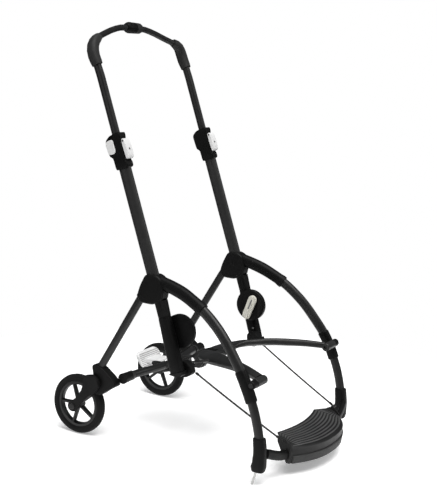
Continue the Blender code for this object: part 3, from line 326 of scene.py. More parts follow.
# footrest plastic: its top coloured lighter than the other plastics as painted light, and below z 0.066 to 0.0705 its
# front skirt painted dark as shade
PLASTIC_TOP = moulded("plastic_footrest", 16, 22, 0.48, edge=60, spec=0.3, shade_below=(0.0660, 0.0705, 9))
HUBMAT = moulded("plastic_hub", 6, 10, 0.55, spec=0.16)
GRIP = leathery("grip_cover", 26, 35)
WHITE = white_shell("shell_white", 226, 238)
WHITE_DULL = white_shell("shell_cream", (214, 212, 202), (222, 220, 210), 0.45)
FOAM = foam("tyre_foam", 5, 9)
RIM = moulded("rim_plastic_detail", 8, 14, 0.4, spec=0.34)
STEEL = turned_steel("steel_turned")
BLACK_STEEL = coated("steel_black", 12, 20, 0.34)
WIRE = twisted("wire_coated")
BUMPER = moulded("bumper_soft", 50, 58, 0.62, 800.0)
INSERT = moulded("insert_plastic", 44, 54, 0.5)
DARK = moulded("plastic_black", 5, 9, 0.5)
# footrest ribs: light grey as a painted highlight on the dark footrest
RIB_PAINTED_HIGHLIGHT = moulded("plastic_rib_painted_highlight", 60, 74, 0.42, edge=120, spec=0.45)
PALE = moulded("plastic_pale", 120, 134, 0.5, edge=160)

NODES = {}


# ------------------------------------------------------------------ making shapes
def mesh_object(name, bm):
    bmesh.ops.connect_verts_nonplanar(bm, angle_limit=math.radians(0.05), faces=bm.faces)
    bmesh.ops.recalc_face_normals(bm, faces=bm.faces)
    mesh = bpy.data.meshes.new(name)
    bm.to_mesh(mesh)
    bm.free()
    obj = bpy.data.objects.new(name, mesh)
    bpy.context.scene.collection.objects.link(obj)
    return obj


def loft(rings, name="shape", loop=False):
    """A closed body through rings of points; loop joins the last ring to the first."""
    bm = bmesh.new()
    rows = [[bm.verts.new(p) for p in ring] for ring in rings]
    n = len(rows[0])
    pairs = list(zip(rows, rows[1:])) + ([(rows[-1], rows[0])] if loop else [])
    for a, b in pairs:
        for i in range(n):
            bm.faces.new((a[i], a[(i + 1) % n], b[(i + 1) % n], b[i]))
    if not loop:
        bm.faces.new(rows[0][::-1])
        bm.faces.new(rows[-1])
    return mesh_object(name, bm)


FINE = 2          # times finer round a section than the CAD


def superellipse(a, b, n, power):
    points = []
    n = n * FINE
    for k in range(n):
        q = 2.0 * math.pi * (k + 0.5) / n
        c, s = math.cos(q), math.sin(q)
        points.append((a * math.copysign(abs(c) ** (2.0 / power), c), b * math.copysign(abs(s) ** (2.0 / power), s)))
    return points


def finer(path, sizes, times=3):
    """More stations along a bent path; straight two-point runs stay as they are."""
    if len(path) < 5:
        return path, sizes
    ext = [path[0] * 2 - path[1]] + path + [path[-1] * 2 - path[-2]]
    pts, out = [], []
    for k in range(len(path) - 1):
        a, b, c, d = ext[k], ext[k + 1], ext[k + 2], ext[k + 3]
        span = (c - b).length
        near = min((b - a).length, (d - c).length)
        steps = times if near > 0.35 * span and span > 0.004 else 1
        for j in range(steps):
            t = j / steps
            if steps == 1:
                pts.append(b.copy())
            else:
                pts.append(0.5 * (2 * b + (c - a) * t + (2 * a - 5 * b + 4 * c - d) * t * t + (3 * b - a - 3 * c + d) * t ** 3))
            out.append((sizes[k][0] * (1 - t) + sizes[k + 1][0] * t, sizes[k][1] * (1 - t) + sizes[k + 1][1] * t))
    pts.append(path[-1].copy())
    out.append(sizes[-1])
    return pts, out


def sweep(path, sizes, n=16, power=2.0, ref=X, name="shape"):
    """A tube along path. sizes gives (half width along ref, half width across it), one for all or one each."""
    path = [Vector(p) for p in path]
    if not isinstance(sizes, list):
        sizes = [sizes] * len(path)
    path, sizes = finer(path, sizes)
    rings = []
    for i, c in enumerate(path):
        before = (c - path[i - 1]).normalized() if i else (path[1] - c).normalized()
        after = (path[i + 1] - c).normalized() if i + 1 < len(path) else before
        t = (before + after).normalized()
        side = (ref - t * ref.dot(t)).normalized()
        up = t.cross(side)
        rings.append([c + side * a + up * b for a, b in superellipse(sizes[i][0], sizes[i][1], n, power)])
    return loft(rings, name)


def rounded(path, size, end=0.004, n=16, power=2.0, ref=X, ends=(True, True)):
    """A tube whose ends are eased over a short length."""
    path = [Vector(p) for p in path]
    sizes = [size] * len(path)
    if ends[0]:
        d = (path[1] - path[0]).normalized()
        path = [path[0], path[0] + d * end * 0.35, path[0] + d * end] + path[1:]
        sizes = [(size[0] - end * 0.55, size[1] - end * 0.55), (size[0] - end * 0.16, size[1] - end * 0.16), size] + sizes[1:]
    if ends[1]:
        d = (path[-2] - path[-1]).normalized()
        path = path[:-1] + [path[-1] + d * end, path[-1] + d * end * 0.35, path[-1]]
        sizes = sizes[:-1] + [size, (size[0] - end * 0.16, size[1] - end * 0.16), (size[0] - end * 0.55, size[1] - end * 0.55)]
    return sweep(path, sizes, n, power, ref)


def smooth_path(points, count):
    """count points on the Catmull-Rom curve through points, evenly by parameter."""
    pts = [Vector(p) for p in points]
    ext = [pts[0] * 2 - pts[1]] + pts + [pts[-1] * 2 - pts[-2]]
    out = []
    spans = len(pts) - 1
    for i in range(count):
        u = i * spans / (count - 1)
        k = min(int(u), spans - 1)
        t = u - k
        a, b, c, d = ext[k], ext[k + 1], ext[k + 2], ext[k + 3]
        out.append(0.5 * (2 * b + (c - a) * t + (2 * a - 5 * b + 4 * c - d) * t * t + (3 * b - a - 3 * c + d) * t ** 3))
    return out


def eased(outline, times=2):
    """Rounds an outline's corners, each by at most a few millimetres."""
    pts = [Vector((y, z)) for y, z in outline]
    for _ in range(times):
        new = []
        for i, p in enumerate(pts):
            a, b = pts[i - 1], pts[(i + 1) % len(pts)]
            for q in (a, b):
                d = (q - p).length
                new.append(p + (q - p) * min(0.25, 0.004 / max(d, 1e-6)))
        pts = new
    return [(p.x, p.y) for p in pts]


def prism(outline, x0, x1, bevel=0.0, segments=3):
    """A plate whose side view is outline, between two planes across the frame."""
    if bevel:
        outline = eased(outline)
    bm = bmesh.new()
    a = [bm.verts.new((x0, y, z)) for y, z in outline]
    b = [bm.verts.new((x1, y, z)) for y, z in outline]
    n = len(a)
    bm.faces.new(a[::-1])
    bm.faces.new(b)
    for i in range(n):
        bm.faces.new((a[i], a[(i + 1) % n], b[(i + 1) % n], b[i]))
    if bevel:
        bmesh.ops.recalc_face_normals(bm, faces=bm.faces)
        rim = [e for e in bm.edges if len({round(v.co.x, 6) for v in e.verts}) == 1]
        bmesh.ops.bevel(bm, geom=rim, offset=bevel, segments=segments, affect="EDGES", clamp_overlap=True)
    return mesh_object("plate", bm)


def slab(outline, z_of, thick, bevel=0.0):
    """A plate whose plan view is outline (x, y); z_of(x, y) is its top and thick its depth."""
    bm = bmesh.new()
    top = [bm.verts.new((x, y, z_of(x, y))) for x, y in outline]
    low = [bm.verts.new((x, y, z_of(x, y) - thick)) for x, y in outline]
    n = len(top)
    bm.faces.new(top)
    bm.faces.new(low[::-1])
    for i in range(n):
        bm.faces.new((top[i], low[i], low[(i + 1) % n], top[(i + 1) % n]))
    return mesh_object("slab", bm)


def turned(profile, y, z, n=32, x_sign=1.0, start=0.0):
    """A solid turned about a line across the frame through (y, z); profile is (x, radius), closed by its axis."""
    rings = []
    n = n * FINE
    for x, r in profile:
        rings.append([(x * x_sign, y + r * math.cos(start + 2 * math.pi * k / n), z + r * math.sin(start + 2 * math.pi * k / n)) for k in range(n)])
    return loft(rings, "turned")


def ring_solid(profile, y, z, n=32, x_sign=1.0):
    """A ring turned about a line across the frame; profile is a closed loop of (x, radius)."""
    rings = []
    n = n * FINE
    for k in range(n):
        q = 2 * math.pi * k / n
        rings.append([(x * x_sign, y + r * math.cos(q), z + r * math.sin(q)) for x, r in profile])
    return loft(rings, "ring", loop=True)


def rod(p0, p1, r, n=12, ease=0.0):
    p0, p1 = Vector(p0), Vector(p1)
    d = (p1 - p0).normalized()
    ref = X if abs(d.dot(X)) < 0.9 else Z
    if ease:
        path = [p0, p0 + d * ease, p1 - d * ease, p1]
        return sweep(path, [(r - ease, r - ease), (r, r), (r, r), (r - ease, r - ease)], n, 2.0, ref)
    return sweep([p0, p1], (r, r), n, 2.0, ref)


def combine(target, other, operation):
    """Joins or cuts target with other, which is used up."""
    mod = target.modifiers.new("combine", "BOOLEAN")
    mod.operation = operation
    mod.solver = "EXACT"
    mod.object = other
    bpy.context.view_layer.update()
    graph = bpy.context.evaluated_depsgraph_get()
    mesh = bpy.data.meshes.new_from_object(target.evaluated_get(graph))
    target.modifiers.clear()
    target.data = mesh
    bpy.data.objects.remove(other, do_unlink=True)
    return target


def join(target, *others):
    for other in others:
        combine(target, other, "UNION")
    return target


def cut(target, *others):
    for other in others:
        combine(target, other, "DIFFERENCE")
    return target


def finish_mesh(obj, mats, angle=38.0):
    """Moves the piece to its place, gives it its materials and even shading."""
    obj.data.transform(Matrix.Translation((0.0, SHIFT_Y, 0.0)))
    obj.data.materials.clear()
    for m in mats:
        obj.data.materials.append(m)
    obj.data.shade_smooth()
    obj.data.set_sharp_from_angle(angle=math.radians(angle))
    weighted = obj.modifiers.new("even", "WEIGHTED_NORMAL")
    weighted.keep_sharp = True
    weighted.weight = 60


def node(name, obj, mat, axis=None):
    """The visible piece that stands for the CAD node of that name."""
    finish_mesh(obj, [mat] if not isinstance(mat, list) else mat)
    obj.name = "look_" + name
    obj.data.name = obj.name
    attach(obj, BODY_OF[name])
    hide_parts(name)
    NODES[name] = obj
    return obj


def extra(name, obj, mat, like):
    """A small added detail that moves with the CAD node it sits on."""
    finish_mesh(obj, [mat] if not isinstance(mat, list) else mat)
    obj.name = name
    obj.data.name = name
    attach(obj, BODY_OF[like])
    return obj


def merged(parts, name="group"):
    """Several closed bodies as one mesh."""
    bm = bmesh.new()
    for p in parts:
        bm.from_mesh(p.data)
        bpy.data.objects.remove(p, do_unlink=True)
    return mesh_object(name, bm)


def lerp(a, b, t):
    return tuple(p + (q - p) * t for p, q in zip(a, b))


def along(t, x):
    """A point on the handle line: t = 0 at its top, 1 at the hub."""
    y, z = lerp(HANDLE_TOP, HANDLE_LOW, t)
    return (x, y, z)


HANDLE_DIR = (Vector((0, *HANDLE_TOP)) - Vector((0, *HANDLE_LOW))).normalized()
HANDLE_LEN = (Vector((0, *HANDLE_TOP)) - Vector((0, *HANDLE_LOW))).length


def handle_frame(x, along_up, back):
    """A point given by the distance up the handle line from z = 0.76 and the distance to its rear."""
    y0 = HANDLE_TOP[0] + (0.76 - HANDLE_TOP[1]) * (HANDLE_LOW[0] - HANDLE_TOP[0]) / (HANDLE_LOW[1] - HANDLE_TOP[1])
    base = Vector((x, y0, 0.76))
    rear = Vector((0, HANDLE_DIR.z, -HANDLE_DIR.y))
    return base + HANDLE_DIR * along_up + rear * back


def handle_outline(points):
    """Turns (back, up) pairs on the handle line into a side view."""
    out = []
    for back, up in points:
        p = handle_frame(0.0, up, back)
        out.append((p.y, p.z))
    return out


# ------------------------------------------------------------------ front leg: arc, sleeve and lower tube
ARC_LINE = [(0.2105, -0.262, 0.442), (0.2130, -0.311, 0.427), (0.2160, -0.339, 0.4145), (0.2190, -0.366, 0.4005),
            (0.2220, -0.391, 0.384), (0.2250, -0.414, 0.3655), (0.2285, -0.437, 0.344), (0.2320, -0.458, 0.320),
            (0.2360, -0.479, 0.293), (0.2390, -0.497, 0.2685), (0.2415, -0.517, 0.233), (0.2420, -0.533, 0.198),
            (0.2430, -0.547, 0.159), (0.2430, -0.557, 0.117), (0.2430, -0.561, 0.092)]


def arc_point(u):
    """A point on the front leg's line, u running from 0 to 14."""
    return smooth_path(ARC_LINE, 281)[int(round(u * 20))]


def arc_run(a, b, count):
    whole = smooth_path(ARC_LINE, 281)
    return [whole[min(280, int(round(20 * (a + (b - a) * i / (count - 1)))))] for i in range(count)]


def mirrored(points, s):
    return [Vector((p[0] * s, p[1], p[2])) for p in points]


def grown(size, by):
    return (size[0] + by, size[1] + by)


# front crossbar: between the two castor housings, dipping forward under the footrest
BAR = [(0.2330, -0.5735, 0.0795), (0.2180, -0.5765, 0.0745), (0.2000, -0.5800, 0.0675), (0.1700, -0.5830, 0.0580), (0.1500, -0.5845, 0.0555), (0.1000, -0.6000, 0.0545),
       (0.0500, -0.6120, 0.0545), (0.0000, -0.6155, 0.0545)]
bar_half = smooth_path(BAR, 9)
bar_line = bar_half + mirrored(bar_half[::-1][1:], -1.0)
BAR_SIZE = (0.0118, 0.0078)


def bar_cutter():
    """The crossbar with clearance all round and past both ends."""
    beyond = (bar_line[0] - bar_line[1]).normalized() * 0.0006
    ends = [bar_line[0] + beyond, bar_line[-1] + Vector((-beyond.x, beyond.y, beyond.z))]
    return sweep([ends[0]] + bar_line[1:-1] + [ends[1]], grown(BAR_SIZE, GAP), 14, 2.8, Z)


for s, tag in ((-1.0, "_r"), (1.0, "_l")):
    # upper tube: from inside the hub's collar to inside the sleeve
    tube = sweep(mirrored(arc_run(2.4, 9.45, 13), s), ARC, 16)
    node("leg_upper" + tag, tube, TUBE)

    # sleeve with its pivot boss
    sleeve = rounded(mirrored(arc_run(8.95, 10.95, 5), s), SLEEVE, 0.003, 14, 2.6)
    boss = turned([(0.2300, 0.0096), (0.2312, 0.0104), (0.2488, 0.0104), (0.2500, 0.0092)], *YOKE_PIVOT, 20, s)
    sleeve = join(sleeve, boss)
    sleeve = cut(sleeve, sweep(mirrored(arc_run(8.6, 9.48, 4), s), grown(ARC, GAP), 16))
    sleeve = cut(sleeve, sweep(mirrored(arc_run(10.52, 11.4, 4), s), grown(LOWER, GAP), 16))
    sleeve = cut(sleeve, turned([(0.2200, 0.0045), (0.2600, 0.0045)], *YOKE_PIVOT, 16, s))
    node("leg_sleeve" + tag, sleeve, PLASTIC)

    pin = turned([(0.1850, 0.0034), (0.1856, 0.0040), (0.2503, 0.0040), (0.2503, 0.0062), (0.2512, 0.0062), (0.2520, 0.0052)],
                 *YOKE_PIVOT, 16, s)
    node("pivot_pin" + tag, pin, BLACK_STEEL, (0, *YOKE_PIVOT))

    # lower tube: from inside the sleeve to inside the castor housing
    node("leg_lower" + tag, sweep(mirrored(arc_run(10.55, 14.0, 7), s), LOWER, 14), TUBE)

    # castor housing: a tapered block on the lower tube's end, with a collar and a lower lip
    c = CASTOR_X
    levels = [(0.1185, -0.5578, 0.0114, 0.0140), (0.1165, -0.5578, 0.0126, 0.0151), (0.0920, -0.5608, 0.0134, 0.0155),
              (0.0800, -0.5618, 0.0138, 0.0158), (0.0570, -0.5606, 0.0140, 0.0168), (0.0480, -0.5592, 0.0138, 0.0184),
              (0.0385, -0.5590, 0.0124, 0.0162), (0.0360, -0.5590, 0.0110, 0.0142)]
    housing = loft([[Vector((s * c + a, y + b, z)) for a, b in superellipse(hx, hy, 20, 3.0)] for z, y, hx, hy in levels])
    housing = cut(housing, sweep(mirrored(arc_run(12.5, 14.0, 4), s) + [Vector((s * 0.243, -0.5613, 0.0900))], grown(LOWER, GAP), 16))
    # bare castor pin: leans back a little, its tip is on the floor
    top, tip = Vector((s * c, -0.5643, 0.0700)), Vector((s * c, -0.5440, 0.0000))
    d = (tip - top).normalized()
    housing = cut(housing, rod(top - d * 0.001, top + d * 0.060, 0.0034, 12))
    housing = cut(housing, bar_cutter())
    node("wheel_mount" + tag, housing, PLASTIC)

    around = [X * (0.0029 * math.cos(math.pi * i / 6)) + X.cross(d) * (0.0029 * math.sin(math.pi * i / 6)) for i in range(12)]
    rings = [[top + v for v in around], [top + d * 0.040 + v for v in around]]
    rings.append([top + v - d * ((top + v).z / d.z) for v in around])
    node("castor_pin" + tag, loft(rings), STEEL)

# ------------------------------------------------------------------ side hub, thick tube, post, seat adapter
HUB_SIDE = [(-0.2095, 0.4610), (-0.2400, 0.4640), (-0.2560, 0.4560), (-0.2650, 0.4240), (-0.2600, 0.3990),
            (-0.2333, 0.3875), (-0.2020, 0.3880), (-0.1930, 0.3930), (-0.1872, 0.4080), (-0.1950, 0.4320)]
POST_TOP, POST_LOW = (-0.2495, 0.4000), (-0.3058, 0.2262)

for s, tag in ((-1.0, "_r"), (1.0, "_l")):
    hub = prism(HUB_SIDE, s * 0.1945, s * 0.2265, 0.003, 1)
    arm = sweep(mirrored([(0.2105, -0.245, 0.445)] + arc_run(0.35, 3.3, 6), s),
                [(0.0138, 0.0165)] * 2 + [(0.0134, 0.0166), (0.0129, 0.0163), (0.0127, 0.0160), (0.0126, 0.0160), (0.0126, 0.0158)], 16, 2.2)
    hub = join(hub, arm)
    collar = sweep(mirrored(arc_run(2.9, 3.42, 3), s), [(0.0128, 0.0162), (0.0136, 0.0172), (0.0134, 0.0170)], 16, 2.2)
    hub = join(hub, collar)
    # neck over the lower end of the post
    u = (Vector((0, *POST_LOW)) - Vector((0, *POST_TOP))).normalized()
    neck_a = Vector((s * SIDE_X, *POST_TOP)) + u * 0.002
    neck_b = Vector((s * SIDE_X, *POST_TOP)) + u * 0.042
    hub = join(hub, sweep([neck_a, neck_b], [(0.0144, 0.0158), (0.0136, 0.0148)], 16, 3.0))
    # sockets: the arc tube, the thick tube and the post
    hub = cut(hub, sweep(mirrored(arc_run(2.35, 3.8, 6), s), grown(ARC, GAP), 16))
    low = Vector(along(1.0, s * SIDE_X))
    hub = cut(hub, sweep([low - HANDLE_DIR * 0.0215, low + HANDLE_DIR * 0.03], grown(THICK, GAP), 20, 2.3))
    hub = cut(hub, sweep([neck_a + u * 0.016, neck_b + u * 0.05], (0.0115 + GAP, 0.0125 + GAP), 16, 3.0))
    # clevis slot for the rear strut: a wedge that lets it swing forward
    p, q = Vector((0, *FOLD_PIVOT)), Vector((0, *STRUT_LOW))
    rest = (q - p).normalized()
    a = -math.radians(FOLD_DEG + 1.0)
    turned_dir = Vector((0, rest.y * math.cos(a) - rest.z * math.sin(a), rest.y * math.sin(a) + rest.z * math.cos(a)))
    r = STRUT[1] + 0.0024
    wedge = []
    for k in range(9):
        q0 = math.atan2(rest.z, rest.y) + math.pi / 2 + math.pi * k / 8
        wedge.append((p.y + r * math.cos(q0), p.z + r * math.sin(q0)))
    n1 = Vector((0, -turned_dir.z, turned_dir.y))
    n0 = Vector((0, -rest.z, rest.y))
    far1 = p + turned_dir * 0.07 - n1 * r
    far0 = p + rest * 0.07 + n0 * r
    wedge = [(p.y + n0.y * r, p.z + n0.z * r)] + wedge[1:-1]
    wedge_points = [(far0.y, far0.z)] + wedge + [(p.y - n1.y * r, p.z - n1.z * r), (far1.y, far1.z)]
    hub = cut(hub, prism(wedge_points, s * (STRUT_X - STRUT[0] - 0.0011), s * (STRUT_X + STRUT[0] + 0.0011)))
    hub = cut(hub, turned([(0.1965, 0.0052), (0.2225, 0.0052)], *FOLD_PIVOT, 16, s))
    node("hub" + tag, hub, PLASTIC)

    # thick tube, bored for the telescoping tube
    start = Vector(along(1.0, s * SIDE_X)) - HANDLE_DIR * 0.021
    y_top, z_top = handle_outline([(0.0, -0.040)])[0]
    stop = Vector((s * SIDE_X, y_top, z_top))
    outer = sweep([start, stop], THICK, 20, 2.3)
    bore = sweep([start + HANDLE_DIR * 0.030, stop + HANDLE_DIR * 0.02], (THICK[0] - 0.0018, THICK[1] - 0.0018), 20, 2.3)
    node("upright" + tag, cut(outer, bore), TUBE)

    # post: straight box-like tube from the hub down to the foot
    post_a = neck_a + u * 0.0165
    post_b = Vector((s * SIDE_X, *POST_LOW)) + u * 0.0
    post = sweep([post_a, neck_b + u * 0.0004, neck_b + u * 0.0009, neck_b + u * 0.0070, lerp(neck_b, post_b, 0.45), post_b],
                 [(0.0115, 0.0125), (0.0115, 0.0125), (0.0133, 0.0146), (0.0137, 0.0151), (0.0146, 0.0168), (0.0146, 0.0170)], 16, 3.2)
    node("post" + tag, post, PLASTIC)

    # post foot: a shoe round the post's lower end, reaching in to hold the brace wire
    sole = prism([(-0.2894, 0.2200), (-0.2905, 0.2180), (-0.3060, 0.2160), (-0.3225, 0.2185), (-0.3260, 0.2235), (-0.3245, 0.2298), (-0.3222, 0.2303)],
                 s * 0.1850, s * 0.2245)
    block = prism([(-0.2940, 0.2400), (-0.3000, 0.2480), (-0.3160, 0.2515), (-0.3290, 0.2430), (-0.3370, 0.2290), (-0.3360, 0.2200), (-0.3220, 0.2100), (-0.3080, 0.2095), (-0.2970, 0.2180)],
                  s * 0.1735, s * 0.1957, 0.0012)
    node("post_foot" + tag, join(block, sole), PLASTIC)

    # seat adapter disc on the inner side of the post
    disc = turned([(0.1955, 0.0300), (0.1950, DISC_R - 0.002), (0.1935, DISC_R), (0.1835, DISC_R), (0.1820, DISC_R - 0.0015), (0.1820, 0.0100)],
                  *DISC_C, 30, s)
    # low seating pad on the disc's front half, clear of the lever: the seat unit's plate lies on it
    pad = []
    for k in range(9):
        q0 = math.radians(128.0 + 13.0 * k)
        pad.append((DISC_C[0] + 0.0395 * math.cos(q0), DISC_C[1] + 0.0395 * math.sin(q0)))
    disc = join(disc, prism(pad, s * 0.1850, s * SEAT_FACE_X))
    node("seat_disc" + tag, disc, PLASTIC)

    # seat lock lever: a flat rounded bar on the disc's inner face, turning on the disc's centre
    lever_dir = Vector((0, 0.34, -0.94)).normalized()
    tip_a = Vector((0, DISC_C[0] - 0.0025, DISC_C[1])) - lever_dir * 0.0182
    tip_b = Vector((0, DISC_C[0] - 0.0025, DISC_C[1])) + lever_dir * 0.0350
    side = Vector((0, -lever_dir.z, lever_dir.y))
    shape = []
    for k in range(9):
        q0 = math.pi * k / 8
        v = tip_a + side * (0.0125 * math.cos(q0)) - lever_dir * (0.0125 * math.sin(q0))
        shape.append((v.y, v.z))
    for k in range(9):
        q0 = math.pi * k / 8
        v = tip_b - side * (0.0115 * math.cos(q0)) + lever_dir * (0.005 * math.sin(q0))
        shape.append((v.y, v.z))
    node("seat_lock" + tag, prism(shape, s * 0.1814, s * 0.1750, 0.0012), WHITE_DULL, (s * 0.1782, *DISC_C))

# ------------------------------------------------------------------ telescoping clamp
CLAMP_BODY = [(-0.0125, 0.0430), (-0.0180, 0.0415), (-0.0180, 0.0310), (-0.0160, 0.0275), (-0.0162, -0.0290), (-0.0184, -0.0325),
              (-0.0184, -0.0465), (0.0182, -0.0480), (0.0188, -0.0150), (0.0275, -0.0095), (0.0295, 0.0300), (0.0140, 0.0405)]
LEVER_PIN = (-0.0222, 0.0190)
for s, tag in ((-1.0, "_r"), (1.0, "_l")):
    body = prism(handle_outline(CLAMP_BODY), s * 0.1965, s * 0.2255, 0.002)
    bore_lo = handle_frame(s * SIDE_X, -0.070, 0.0)
    bore_mid = handle_frame(s * SIDE_X, -0.0385, 0.0)
    bore_hi = handle_frame(s * SIDE_X, 0.070, 0.0)
    body = cut(body, sweep([bore_lo, bore_mid], grown(THICK, GAP), 20, 2.3))
    body = cut(body, sweep([bore_mid - HANDLE_DIR * 0.004, bore_hi], grown(THIN, 0.0005), 16, 2.2))
    # pocket for the release slide on the rear block and a bore for the lever's pin
    pocket = prism(handle_outline([(0.0042, -0.0066), (0.0330, -0.0066), (0.0330, 0.0345), (0.0042, 0.0370)]), s * 0.2236, s * 0.2300)
    body = cut(body, pocket)
    pin_y, pin_z = handle_outline([LEVER_PIN])[0]
    body = cut(body, turned([(0.19, 0.0028), (0.24, 0.0028)], pin_y, pin_z, 12, s))
    node("clamp" + tag, body, PLASTIC)
    node("clamp_pin" + tag, turned([(0.1975, 0.0019), (0.1980, 0.0023), (0.2245, 0.0023), (0.2250, 0.0019)], pin_y, pin_z, 12, s), BLACK_STEEL, (s * 0.211, pin_y, pin_z))

    lever_shape = [(-0.0172, 0.0130), (-0.0176, 0.0200), (-0.0198, 0.0240), (-0.0232, 0.0250), (-0.0258, 0.0190), (-0.0278, 0.0060), (-0.0280, -0.0100),
                   (-0.0268, -0.0215), (-0.0245, -0.0258), (-0.0206, -0.0268), (-0.0190, -0.0262)]
    lever = prism(handle_outline(lever_shape), s * 0.1985, s * 0.2235, 0.0011, 2)
    node("clamp_lever" + tag, lever, WHITE, (s * 0.211, pin_y, pin_z))

    slide = prism(handle_outline([(0.0048, -0.0058), (0.0262, -0.0058), (0.0274, 0.0060), (0.0284, 0.0270), (0.0150, 0.0300), (0.0048, 0.0290)]), s * 0.2241, s * 0.2278, 0.0010)
    node("fold_trigger" + tag, slide, WHITE, (s * 0.2255, *handle_outline([(0.018, 0.010)])[0]))

# ------------------------------------------------------------------ handlebar
GRIP_LINE = [(0.2110, -0.0390, 0.9660), (0.2115, -0.0350, 0.9740), (0.2115, -0.0285, 0.9860), (0.2100, -0.0235, 1.0000),
             (0.2060, -0.0205, 1.0125), (0.1985, -0.0190, 1.0225), (0.1880, -0.0170, 1.0295), (0.1770, -0.0142, 1.0342)]
BAR_LINE = [(0.2000, -0.0200, 1.0210), (0.1880, -0.0165, 1.0285), (0.1760, -0.0132, 1.0335), (0.1600, -0.0092, 1.0385), (0.1440, -0.0062, 1.0430),
            (0.1280, -0.0040, 1.0475), (0.1050, -0.0012, 1.0540), (0.0780, 0.0012, 1.0600), (0.0570, 0.0025, 1.0635), (0.0220, 0.0030, 1.0652)]
for s, tag in ((-1.0, "_r"), (1.0, "_l")):
    low = handle_frame(s * SIDE_X, -0.115, 0.0)
    high = Vector(along(0.02, s * SIDE_X))
    bend = mirrored([(0.2113, -0.0370, 0.9700), (0.2113, -0.0300, 0.9850), (0.2095, -0.0240, 1.0000), (0.2050, -0.0208, 1.0125)] + BAR_LINE[1:], s)
    path = [low, high] + bend
    sizes = [THIN, THIN] + [(0.0078, 0.0105), (0.0078, 0.0098), (0.0078, 0.0090), (0.0078, 0.0085)] + [(0.0078, 0.0078)] * (len(BAR_LINE) - 1)
    # the section keeps its shape round the corner: its reference turns with the tube
    rings = []
    pts = [Vector(p) for p in path]
    for i, c in enumerate(pts):
        before = (c - pts[i - 1]).normalized() if i else (pts[1] - c).normalized()
        after = (pts[i + 1] - c).normalized() if i + 1 < len(pts) else before
        t = (before + after).normalized()
        up = Vector((0, HANDLE_DIR.z, -HANDLE_DIR.y))
        up = (up - t * up.dot(t)).normalized()
        side = up.cross(t)
        a, b = sizes[i]
        rings.append([c + side * x + up * y for x, y in superellipse(a, b, 16, 2.2)])
    node("handle_tube" + tag, loft(rings), TUBE)

    grip_pts = mirrored(GRIP_LINE, s)
    outer_sizes = [(0.0122, 0.0136), (0.0130, 0.0146), (0.0134, 0.0152), (0.0136, 0.0154), (0.0135, 0.0150), (0.0130, 0.0142), (0.0121, 0.0130), (0.0104, 0.0108)]
    rings = []
    for i, c in enumerate(grip_pts):
        before = (c - grip_pts[i - 1]).normalized() if i else (grip_pts[1] - c).normalized()
        after = (grip_pts[i + 1] - c).normalized() if i + 1 < len(grip_pts) else before
        t = (before + after).normalized()
        up = Vector((0, HANDLE_DIR.z, -HANDLE_DIR.y))
        up = (up - t * up.dot(t)).normalized()
        side = up.cross(t)
        a, b = outer_sizes[i]
        rings.append([c + side * x + up * y for x, y in superellipse(a, b, 16, 2.3)])
    grip = loft(rings)
    rings = []
    ext = [pts[1] - HANDLE_DIR * 0.02, pts[1]] + pts[2:10]
    esz = [THIN, THIN] + sizes[2:10]
    for i, c in enumerate(ext):
        before = (c - ext[i - 1]).normalized() if i else (ext[1] - c).normalized()
        after = (ext[i + 1] - c).normalized() if i + 1 < len(ext) else before
        t = (before + after).normalized()
        up = Vector((0, HANDLE_DIR.z, -HANDLE_DIR.y))
        up = (up - t * up.dot(t)).normalized()
        side = up.cross(t)
        a, b = esz[i]
        rings.append([c + side * x + up * y for x, y in superellipse(a + GAP, b + GAP, 16, 2.2)])
    node("grip" + tag, cut(grip, loft(rings)), GRIP)

HUB_YZ = (0.0030, 1.0652)
hub_profile = [(-0.0320, 0.0096), (-0.0280, 0.0120), (-0.0230, 0.0140), (-0.0210, 0.0145), (0.0060, 0.0145), (0.0075, 0.0135), (0.0075, 0.0106), (0.0250, 0.0106), (0.0255, 0.0092)]
barrel = turned(hub_profile, *HUB_YZ, 18)
for s in (-1.0, 1.0):
    end_points = mirrored([BAR_LINE[-1], BAR_LINE[-2], BAR_LINE[-3]], s)
    end_points[0] = Vector((s * 0.0216, HUB_YZ[0], HUB_YZ[1]))
    barrel = cut(barrel, sweep(end_points, (0.0078 + GAP, 0.0078 + GAP), 16, 2.2, Z))
node("handle_hub", barrel, PLASTIC)
insert = ring_solid([(0.0080, 0.0110), (0.0080, 0.0136), (0.0100, 0.0143), (0.0270, 0.0140), (0.0330, 0.0120), (0.0370, 0.0100), (0.0370, 0.0093), (0.0262, 0.0093), (0.0258, 0.0110)], *HUB_YZ, 18)
node("hub_insert", insert, INSERT)

